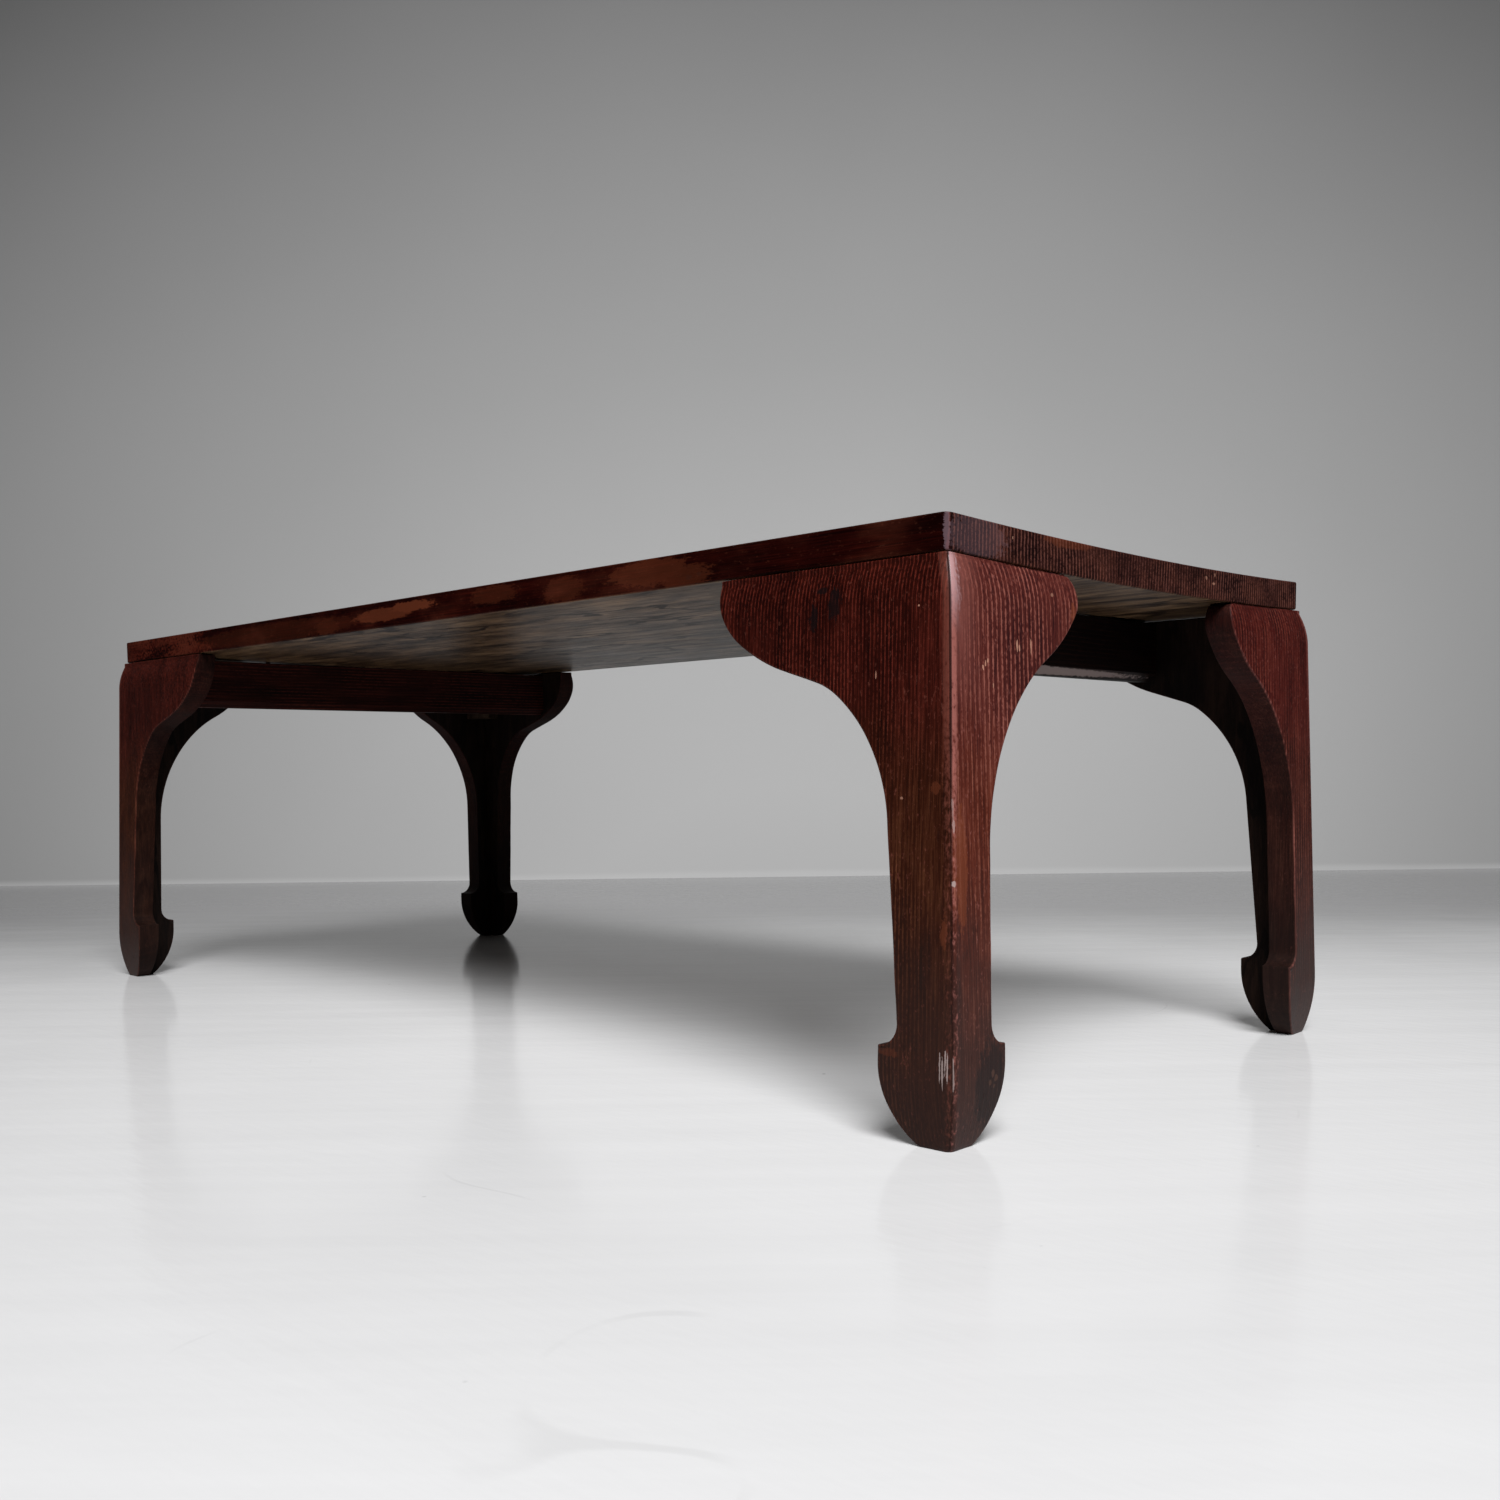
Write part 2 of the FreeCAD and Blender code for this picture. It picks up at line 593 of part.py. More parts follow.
def top_board(name, edge, way_y):
    """One board of the top, cupped above and below, from the seam out to a long edge of the table."""
    body = doc.addObject("PartDesign::Body", name)
    middle = f"(({edge} + {SEAM}) / 2)"
    sketch = new_sketch(body, "Section", "YZ_Plane")
    pencil = Pencil(sketch, 1, (edge, underside(edge)))
    pencil.bow((middle, underside(middle)), (SEAM, underside(SEAM)))
    pencil.line(SEAM, f"{underside(SEAM)} + Size.top_thickness")
    pencil.bow(
        (middle, f"{underside(middle)} + Size.top_thickness"),
        (edge, f"{underside(edge)} + Size.top_thickness"),
    )
    pencil.close()
    plank = body.newObject("PartDesign::Pad", "Plank")
    plank.Profile = sketch
    plank.Midplane = True
    plank.setExpression("Length", "Size.table_length")

    def upright_corner(line):
        first, last = line.Vertexes[0], line.Vertexes[-1]
        on_edge = abs(first.Y - size(edge)) < CLOSE and abs(last.Y - size(edge)) < CLOSE
        return on_edge and abs(first.Z - last.Z) > CLOSE

    def rim(line):
        first, last = line.Vertexes[0], line.Vertexes[-1]
        level = abs(first.Z - last.Z) < size("Size.cup_rise") + CLOSE
        in_seam = abs(first.Y - size(SEAM)) < CLOSE and abs(last.Y - size(SEAM)) < CLOSE
        return level and not in_seam

    rounded = dress_edges(body, plank, "Fillet", "RoundCorners", "Size.top_corner_radius", upright_corner)
    dress_edges(body, rounded, "Chamfer", "WornEdges", "Size.top_arris", rim)
    along = "(Size.table_length - 2 * Size.tongue_stop + 2 * Size.joint_clearance)"
    across = "(Size.tongue_width + 2 * Size.joint_clearance)"
    solid_at(
        body, "TongueGroove", "SubtractiveBox",
        {"Length": along, "Width": across, "Height": "Size.tongue_thickness + 2 * Size.joint_clearance"},
        (f"-{along} / 2", f"{SEAM} - {across} / 2", f"{TONGUE_FOOT} - Size.joint_clearance"),
    )
    holes = []
    for kind in ("side", "end"):
        for place, box, (run_x, run_y) in stub_boxes(kind, "Size.joint_clearance"):
            corner_x = f"{HALF_LENGTH} - {run_x} - ({box['Length']})"
            middle_y = f"({HALF_WIDTH} - {run_y} - ({box['Width']}) / 2)"
            corner_y = f"{way_y} * {middle_y} - ({box['Width']}) / 2"
            base = (corner_x, corner_y, STUB_FOOT)
            holes.append(solid_at(body, f"Mortise_{kind}_{place}", "SubtractiveBox", box, base))
    for row, place in enumerate(SCREW_ROWS):
        if way_y * (size(place) - size(SEAM)) > 0:
            bore = {"Radius": SCREW_HOLE_RADIUS, "Height": "Size.screw_bite + 2 * Size.joint_clearance"}
            base = (f"{HALF_LENGTH} - Size.rail_inset", place, RAIL_TOP)
            holes.append(solid_at(body, f"ScrewHole_{row}", "SubtractiveCylinder", bore, base))
    mirrored_over(body, holes, "YZ_Plane")
    return body


def top_tongue():
    """The loose tongue in the seam, stopped short of the ends."""
    strip = doc.addObject("Part::Box", "top_loose_tongue")
    strip.setExpression("Length", "Size.table_length - 2 * Size.tongue_stop")
    strip.setExpression("Width", "Size.tongue_width")
    strip.setExpression("Height", "Size.tongue_thickness")
    strip.setExpression(".Placement.Base.x", f"Size.tongue_stop - {HALF_LENGTH}")
    strip.setExpression(".Placement.Base.y", f"{SEAM} - Size.tongue_width / 2")
    strip.setExpression(".Placement.Base.z", TONGUE_FOOT)
    return strip


# Rails

def symmetric_bar(body, name, thickness, low_reach, high_reach, foot, head):
    """A pad drawn in elevation, the same front and back, centred on the body's own middle plane."""
    sketch = new_sketch(body, f"{name}Elevation", "YZ_Plane")
    pencil = Pencil(sketch, 1, (f"-{low_reach}", foot))
    pencil.line(low_reach, foot)
    pencil.line(high_reach, head)
    pencil.line(f"-{high_reach}", head)
    pencil.close()
    bar = body.newObject("PartDesign::Pad", name)
    bar.Profile = sketch
    bar.Midplane = True
    bar.setExpression("Length", thickness)
    return bar


def rail(name, way_x):
    """A cross rail: ends cut to the lean of the legs, a stub tenon each end, lower edges bevelled."""
    body = doc.addObject("PartDesign::Body", name)
    body.setExpression(".Placement.Base.x", f"{way_x} * ({HALF_LENGTH} - Size.rail_inset)")
    low_reach = f"({HALF_WIDTH} - ({inner_face(RAIL_FOOT)}))"
    high_reach = f"({HALF_WIDTH} - ({inner_face(RAIL_TOP)}))"
    bar = symmetric_bar(body, "Bar", "Size.rail_thickness", low_reach, high_reach, RAIL_FOOT, RAIL_TOP)

    def lower_edge(edge):
        first, last = edge.Vertexes[0], edge.Vertexes[-1]
        low = max(first.Z, last.Z) < size(RAIL_FOOT) + CLOSE
        return low and abs(first.Y - last.Y) > CLOSE

    dress_edges(body, bar, "Chamfer", "LowerBevel", "Size.rail_chamfer", lower_edge)

    reach = f"({HALF_WIDTH} - {TENON_END})"
    tenon_top = f"({TENON_FOOT} + Size.tenon_height)"
    symmetric_bar(body, "Tenons", "Size.tenon_thickness", reach, reach, TENON_FOOT, tenon_top)

    for row, place in enumerate(SCREW_ROWS):
        well = {
            "Radius": "Size.counterbore_diameter / 2",
            "Height": "Size.counterbore_depth + Size.cut_overrun",
        }
        base = ("0", place, f"{RAIL_FOOT} - Size.cut_overrun")
        solid_at(body, f"Well_{row}", "SubtractiveCylinder", well, base)
        shank = {"Radius": SCREW_HOLE_RADIUS, "Height": "Size.rail_height"}
        solid_at(body, f"ShankHole_{row}", "SubtractiveCylinder", shank, ("0", place, WELL_TOP))
    return body


# Screws

def rail_screws():
    """The screws that hold the top, as one group of separate solids: heads up in the rails' wells."""
    body = doc.addObject("PartDesign::Body", "rail_screws")
    axis = f"({HALF_LENGTH} - Size.rail_inset)"
    shank = f"({axis} + Size.screw_diameter / 2)"
    rim = f"({axis} + Size.screw_head_diameter / 2)"
    crown = f"({WELL_TOP} - Size.screw_head_height)"
    tip = "(Size.leg_height + Size.screw_bite)"
    screws = []
    for row, place in enumerate(SCREW_ROWS):
        sketch = new_sketch(body, f"Profile_{row}", "XZ_Plane", f"-({place})")
        pencil = Pencil(sketch, 1, (axis, crown))
        for point in ((rim, crown), (rim, WELL_TOP), (shank, WELL_TOP), (shank, tip), (axis, tip)):
            pencil.line(*point)
        pencil.close()
        low, high = FreeCAD.Vector(size(axis), 0, 0), FreeCAD.Vector(size(axis), size(tip), 0)
        centre_line = sketch.addGeometry(Part.LineSegment(low, high), True)
        pencil.pin(centre_line, 1, (axis, "0"))
        pencil.pin(centre_line, 2, (axis, tip))
        screw = body.newObject("PartDesign::Revolution", f"Screw_{row}")
        screw.Profile = sketch
        screw.ReferenceAxis = (sketch, ["Axis0"])
        screws.append(screw)
    mirrored_over(body, screws, "YZ_Plane")
    return body


# The whole table

pieces = [
    top_board("top_front_board", f"(-{HALF_WIDTH})", -1),
    top_board("top_back_board", f"({HALF_WIDTH})", 1),
    top_tongue(),
    rail("left_cross_rail", -1),
    rail("right_cross_rail", 1),
]
pieces += at_every_corner(leg_board("side"), "leg_side_board")
pieces += at_every_corner(leg_board("end"), "leg_end_board")
pieces += at_every_corner(mitre_spline(), "mitre_spline")
pieces += at_every_corner(glue_block(), "glue_block")
pieces.append(rail_screws())
doc.recompute()

failed = [thing.Name for thing in doc.Objects if {"Invalid", "Error"} & set(thing.State)]
if failed:
    raise RuntimeError(f"failed features: {failed}")
os.makedirs("parts", exist_ok=True)
for piece in pieces:
    if piece.Shape.isNull() or not piece.Shape.isValid() or not piece.Shape.Solids:
        raise RuntimeError(f"no sound solid: {piece.Label}")
    piece.Shape.exportStep(f"parts/{piece.Label}.step")
    print(f"{piece.Label}: {len(piece.Shape.Solids)} solid")
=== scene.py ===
"""Looks of a low kang table: a two-board top on four mitred corner legs, with a cross rail under each end.

The frame is the part's own: metres, +Z up, origin on the floor under the middle of the top, X along the
length, front at -Y. Sizes in the classes are millimetres, as on a drawing, and meshes are written in metres.
"""

import logging
import math
from collections.abc import Callable, Iterable, Sequence
from dataclasses import dataclass, replace
from enum import Enum

import bmesh
import bpy
import numpy as np
from mathutils import Matrix, Vector, noise


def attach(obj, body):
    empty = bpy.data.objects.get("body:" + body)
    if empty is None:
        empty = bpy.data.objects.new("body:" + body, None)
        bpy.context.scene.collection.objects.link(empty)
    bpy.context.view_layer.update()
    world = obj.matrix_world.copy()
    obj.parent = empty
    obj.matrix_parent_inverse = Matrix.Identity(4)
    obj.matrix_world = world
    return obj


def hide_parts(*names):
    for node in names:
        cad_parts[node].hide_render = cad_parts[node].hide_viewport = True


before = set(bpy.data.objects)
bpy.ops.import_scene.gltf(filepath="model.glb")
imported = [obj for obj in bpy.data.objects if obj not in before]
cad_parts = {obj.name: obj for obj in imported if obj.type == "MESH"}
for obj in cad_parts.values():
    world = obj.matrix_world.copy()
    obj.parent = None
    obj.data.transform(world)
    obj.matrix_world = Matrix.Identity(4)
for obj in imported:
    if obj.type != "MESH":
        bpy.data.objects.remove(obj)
log = logging.getLogger("kang_table")

MM = 0.001
CLOSE = 1e-5
SAME = 1e-6
BODY = "root"

Colour = tuple[float, float, float, float]
Triple = tuple[float, float, float]
Corner = tuple[int, int]


def paint(red: int, green: int, blue: int) -> Colour:
    """A colour given by its screen values.

    Args:
        red: Screen value of red, 0 to 255.
        green: Screen value of green, 0 to 255.
        blue: Screen value of blue, 0 to 255.

    Returns:
        The linear colour that a shader socket takes.
    """
    def linear(value: int) -> float:
        """One channel without its screen curve."""
        share = value / 255
        return share / 12.92 if share <= 0.04045 else ((share + 0.055) / 1.055) ** 2.4

    return linear(red), linear(green), linear(blue), 1.0


# Node trees

@dataclass(frozen=True)
class Cloud:
    """Soft noise by its measure: cells in a metre along each axis, and how many finer layers, how strong."""

    scale: Triple
    detail: float = 2.0
    roughness: float = 0.5


@dataclass(frozen=True)
class Step:
    """A smooth step from one value to another, which falls where its end is below its start."""

    start: float
    end: float
    low: float = 0.0
    high: float = 1.0


class Term:
    """The output of a node, which takes part in Python expressions."""

    def __init__(self, draft: "Draft", socket: bpy.types.NodeSocket) -> None:
        """Wraps one output socket of a draft's tree."""
        self.draft = draft
        self.socket = socket

    def __add__(self, other: "Term | float") -> "Term":
        """The sum as a Math node."""
        return self.draft.math("ADD", self, other)

    def __sub__(self, other: "Term | float") -> "Term":
        """The difference as a Math node."""
        return self.draft.math("SUBTRACT", self, other)

    def __rsub__(self, other: "Term | float") -> "Term":
        """The difference the other way round."""
        return self.draft.math("SUBTRACT", other, self)

    def __mul__(self, other: "Term | float") -> "Term":
        """The product as a Math node."""
        return self.draft.math("MULTIPLY", self, other)

    def __truediv__(self, other: "Term | float") -> "Term":
        """The quotient as a Math node."""
        return self.draft.math("DIVIDE", self, other)

    def __pow__(self, other: "Term | float") -> "Term":
        """The power as a Math node."""
        return self.draft.math("POWER", self, other)

    __radd__ = __add__
    __rmul__ = __mul__


class Draft:
    """Draws the nodes of one tree, for a material or for geometry."""

    def __init__(self, tree: bpy.types.NodeTree) -> None:
        """Starts on an empty tree."""
        self.tree = tree
        tree.nodes.clear()

    def add(
        self, kind: str, settings: dict | None = None, inputs: dict | None = None, output: int | str = 0
    ) -> Term:
        """Adds a node.

        Args:
            kind: The node's type.
            settings: Its properties, set first; "stops" are a ramp's places and colours.
            inputs: Values or terms for its sockets, by name or number.
            output: The output to hand on, by name or number.

        Returns:
            The chosen output.
        """
        node = self.tree.nodes.new(kind)
        for key, value in (settings or {}).items():
            if key == "stops":
                self._set_stops(node.color_ramp, value)
            else:
                setattr(node, key, value)
        for key, value in (inputs or {}).items():
            if isinstance(value, Term):
                self.tree.links.new(value.socket, node.inputs[key])
            else:
                node.inputs[key].default_value = value
        return Term(self, node.outputs[output])

    def add_node(self, kind: str) -> bpy.types.Node:
        """A bare node, for the ends of a tree."""
        return self.tree.nodes.new(kind)

    def together(self, *parts: Term) -> Term:
        """Several geometries joined.

        Args:
            parts: The geometries.

        Returns:
            All of them as one.
        """
        joined = self.add_node("GeometryNodeJoinGeometry")
        for part in parts:
            self.tree.links.new(part.socket, joined.inputs[0])
        return Term(self, joined.outputs[0])

    @staticmethod
    def _set_stops(ramp: bpy.types.ColorRamp, stops: Sequence[tuple[float, Colour]]) -> None:
        """Gives a ramp its stops.

        Args:
            ramp: The ramp of a new node, which has two stops.
            stops: Place and colour of each stop, in order.
        """
        while len(ramp.elements) < len(stops):
            ramp.elements.new(1.0)
        for element, (place, colour) in zip(ramp.elements, stops):
            element.position = place
            element.color = colour

    def math(self, operation: str, *values: Term | float) -> Term:
        """A Math node on terms and numbers."""
        return self.add("ShaderNodeMath", {"operation": operation}, dict(enumerate(values)))

    def vector_math(self, operation: str, *values: Term | Triple, output: int | str = 0) -> Term:
        """A Vector Math node on terms and triples."""
        return self.add("ShaderNodeVectorMath", {"operation": operation}, dict(enumerate(values)), output)

    def parts(self, vector: Term) -> tuple[Term, Term, Term]:
        """The three parts of a vector.

        Args:
            vector: The vector.

        Returns:
            Its parts along X, Y and Z.
        """
        first = self.add("ShaderNodeSeparateXYZ", None, {0: vector})
        outputs = first.socket.node.outputs
        return first, Term(self, outputs[1]), Term(self, outputs[2])

    def joined(self, *values: Term | float) -> Term:
        """A vector from its three parts."""
        return self.add("ShaderNodeCombineXYZ", None, dict(enumerate(values)))

    def noise(self, vector: Term, cloud: Cloud) -> Term:
        """Soft noise.

        Args:
            vector: Where it is read, in metres.
            cloud: Its measure.

        Returns:
            A value about one half.
        """
        place = self.vector_math("MULTIPLY", vector, cloud.scale)
        inputs = {"Vector": place, "Scale": 1.0, "Detail": cloud.detail, "Roughness": cloud.roughness}
        return self.add("ShaderNodeTexNoise", {"noise_dimensions": "3D"}, inputs)

    def fade(self, value: Term, step: Step, low: float | None = None, high: float | None = None) -> Term:
        """A smooth step between two values.

        Args:
            value: The value that drives it.
            step: Where it starts and ends, and the values there.
            low: Value before it, where that isn't the step's own.
            high: Value after it, where that isn't the step's own.

        Returns:
            The stepped value.
        """
        before = (step.start, step.low if low is None else low)
        after = (step.end, step.high if high is None else high)
        (start, first), (end, last) = sorted((before, after))
        inputs = {"Value": value, "From Min": start, "From Max": end, "To Min": first, "To Max": last}
        return self.add("ShaderNodeMapRange", {"interpolation_type": "SMOOTHSTEP"}, inputs)

    def ramp(self, value: Term, *stops: tuple[float, Colour]) -> Term:
        """A colour ramp over a value."""
        return self.add("ShaderNodeValToRGB", {"stops": stops}, {0: value})

    def bump(self, height: Term, strength: float, depth: float) -> Term:
        """A Bump node.

        Args:
            height: The relief.
            strength: How much of it shows.
            depth: Its depth, in millimetres.

        Returns:
            The bent normal.
        """
        inputs = {"Strength": strength, "Distance": depth * MM, "Height": height}
        return self.add("ShaderNodeBump", None, inputs, "Normal")

    def place(self) -> Term:
        """Object coordinates."""
        return self.add("ShaderNodeTexCoord", None, None, "Object")

    def stored(self, name: str, output: str = "Fac") -> Term:
        """A value stored on the mesh."""
        return self.add("ShaderNodeAttribute", {"attribute_name": name}, None, output)

    def blend(self, factor: Term | float, low: Term | Colour, high: Term | Colour) -> Term:
        """A Mix node on colours.

        Args:
            factor: How much of the second colour.
            low: The first colour.
            high: The second colour.

        Returns:
            The mixed colour.
        """
        settings = {"data_type": "RGBA", "blend_type": "MIX", "clamp_factor": True}
        return self.add("ShaderNodeMix", settings, {0: factor, 6: low, 7: high}, 2)


def new_material(name: str) -> tuple[bpy.types.Material, Draft]:
    """A material and the draft of its tree.

    Args:
        name: The material's name.

    Returns:
        The material, its tree still empty, and the draft.
    """
    material = bpy.data.materials.new(name)
    material.use_nodes = True
    return material, Draft(material.node_tree)


# Finishes

class MarkKind(Enum):
    """What has happened to the wood at a mark, or for a shine the painted highlight it shows."""

    KNOT = "black knot"
    NICK = "pale nick"
    FLAKE = "flaked lacquer"
    RUB = "lacquer rubbed down to orange"
    STAIN = "dark stain"
    # A painted highlight on a polished corner; only its lower roughness is the polish
    SHINE = "corner polished by hands"


@dataclass(frozen=True)
class MarkLook:
    """How a kind of mark changes the wood."""

    tint: Colour
    strength: float
    rise: float
    dulling: float


MARK_LOOKS = {
    MarkKind.KNOT: MarkLook(paint(13, 7, 8), 0.8, -0.4, 0.15),
    MarkKind.NICK: MarkLook(paint(190, 140, 118), 0.7, -1.2, 0.2),
    MarkKind.FLAKE: MarkLook(paint(170, 152, 148), 0.75, -0.8, 0.25),
    MarkKind.RUB: MarkLook(paint(110, 55, 34), 0.6, -0.3, 0.1),
    MarkKind.STAIN: MarkLook(paint(34, 26, 26), 0.75, 0.0, 0.05),
    # The shine's tint is a painted highlight
    MarkKind.SHINE: MarkLook(paint(128, 104, 112), 0.4, 0.0, -0.1),
}
MARK_EDGE = Step(1.0, 0.8)
CALM_REACH = 8.0
CALM_POWER = 0.35


@dataclass(frozen=True)
class Mark:
    """One mark on the wood, as a ragged ellipsoid in millimetres."""

    kind: MarkKind
    centre: Triple
    reach: Triple
    weight: float = 1.0

    def mask(self, draft: Draft, place: Term, ragged: Term) -> Term:
        """Where the mark shows.

        Args:
            draft: The material's draft.
            place: Object coordinates.
            ragged: Noise about zero that breaks the outline up.

        Returns:
            The mark's weight inside it, nought outside.
        """
        offset = draft.vector_math("SUBTRACT", place, tuple(MM * part for part in self.centre))
        scaled = draft.vector_math("DIVIDE", offset, tuple(MM * part for part in self.reach))
        distance = draft.vector_math("LENGTH", scaled, output="Value")
        calm = min(1.0, (CALM_REACH / max(self.reach)) ** CALM_POWER)
        return draft.fade(distance + ragged * calm, MARK_EDGE, high=self.weight)


def marks(kind: MarkKind, *rows: tuple) -> tuple[Mark, ...]:
    """Marks of one kind, from rows of centre, reach and, where it isn't whole, weight."""
    return tuple(Mark(kind, *row) for row in rows)


TONE_STOPS = (0.24, 0.5, 0.84)


@dataclass(frozen=True)
class Tones:
    """Colours of a wood from the furrows between its rings to their crests."""

    deep: Colour
    middle: Colour
    light: Colour

    def over(self, draft: Draft, tone: Term) -> Term:
        """The colour at each depth of tone."""
        return draft.ramp(tone, *zip(TONE_STOPS, (self.deep, self.middle, self.light)))


# Grain of every wood, read in metres

SLOW_SWAY = Cloud((7.0, 7.0, 2.2), 1.0)
SLOW_REACH = 0.014
QUICK_SWAY = Cloud((60.0, 60.0, 10.0), 1.0)
QUICK_REACH = 0.0016
MOTTLE = Cloud((34.0, 34.0, 15.0), 4.0, 0.6)
SPECKLE = Cloud((620.0, 620.0, 330.0), 2.0, 0.6)
PALE_SPECKS = Step(0.6, 0.75, 0.0, 0.15)
FIBRES = Cloud((1100.0, 1100.0, 26.0), 3.0, 0.6)
BANDS = Cloud((90.0, 90.0, 6.0), 3.0, 0.6)
PORES = Cloud((1500.0, 1500.0, 60.0), 1.0)
OPEN_PORES = Step(0.64, 0.74)
RAGGED_EDGE = Cloud((520.0, 520.0, 190.0), 4.0, 0.75)
RAGGED_REACH = 2.6
FIBRE_RELIEF = 0.6
MOTTLE_RELIEF = 0.5
PORE_RELIEF = 0.5
MOTTLE_DULLING = 0.2
PORE_DULLING = 0.2
MEAN_DULLING = 0.1

# Its growth rings

BEADS = Cloud((420.0, 420.0, 380.0), 2.0, 0.6)
BEAD_SHARE = 2.6
CREST = Step(0.15, 1.15)
CREST_MEAN = 0.28
RING_LIFE = Cloud((30.0, 30.0, 11.0), 3.0, 0.6)
LIVELY_RINGS = Step(0.38, 0.6)
RINGS_BY_CORNER = Step(0.006, 0.045, 0.45, 1.0)
RINGS_UNDER_TOP = Step(0.262, 0.3)

# Wood without lacquer

BROAD_FIGURE = Cloud((60.0, 60.0, 12.0), 3.0, 0.6)
FINE_FIGURE = Cloud((170.0, 170.0, 30.0), 4.0, 0.75)
FIGURE_SHARE = 1.1
FIGURE_PATH = Cloud((22.0, 22.0, 6.0), 3.0)
FIGURE_LINE = Step(0.02, 0.004)
FIGURE_BREAKS = Cloud((14.0, 14.0, 8.0), 1.0)
UNBROKEN = Step(0.45, 0.55)
BARE_SHEEN = Step(0.1, 0.9, 0.3, 1.7)

# Fading, grime, wear and painted highlights, by height above the floor and distance from the corner

DOWN_THE_SHAFT = Step(0.255, 0.17)
SHAFT_SWAY = 0.06
TOWARDS_FLOOR = Step(0.17, 0.03)
GRIME_SWAY = 0.12
FLOOR_GRIME = paint(46, 33, 30)
RUBBED_EDGE = Step(0.95, 1.6)
EDGE_MOTTLE = 0.9
EDGE_RINGS = 0.3
CORNER_SWAY = 0.008
CORNER_GRIT = 0.006
# Lighter worn colour near the top of the corner, partly rubbed by hands and partly a painted sheen
POLISH_AND_SHEEN = Step(0.032, 0.006, 0.0, 0.55)
POLISH_AND_SHEEN_HEIGHT = Step(0.22, 0.29)
RUBBED_BAND = Step(0.0085, 0.003)
BAND_HEIGHT = Step(0.13, 0.27, 0.35, 1.0)
RUBBED_THROUGH = Step(0.2, 1.0)
BAND_GRIT = 2.2
BAND_MOTTLE = 0.8
BAND_SHEEN = 0.05
# A painted highlight on the top of the leg's rounded shoulder, with some coat sheen over it
SHOULDER = Step(0.0095, 0.003)
SHOULDER_HEIGHT = Step(0.268, 0.3)
SHOULDER_GRIT = 0.008
SHOULDER_SHEEN = 0.6
SHOULDER_HIGHLIGHT = paint(190, 156, 160)
MITRE = Step(0.0009, 0.0005)
MITRE_HEIGHT = Step(0.1, 0.25, 0.35, 0.8)
MITRE_TINT = paint(12, 7, 7)


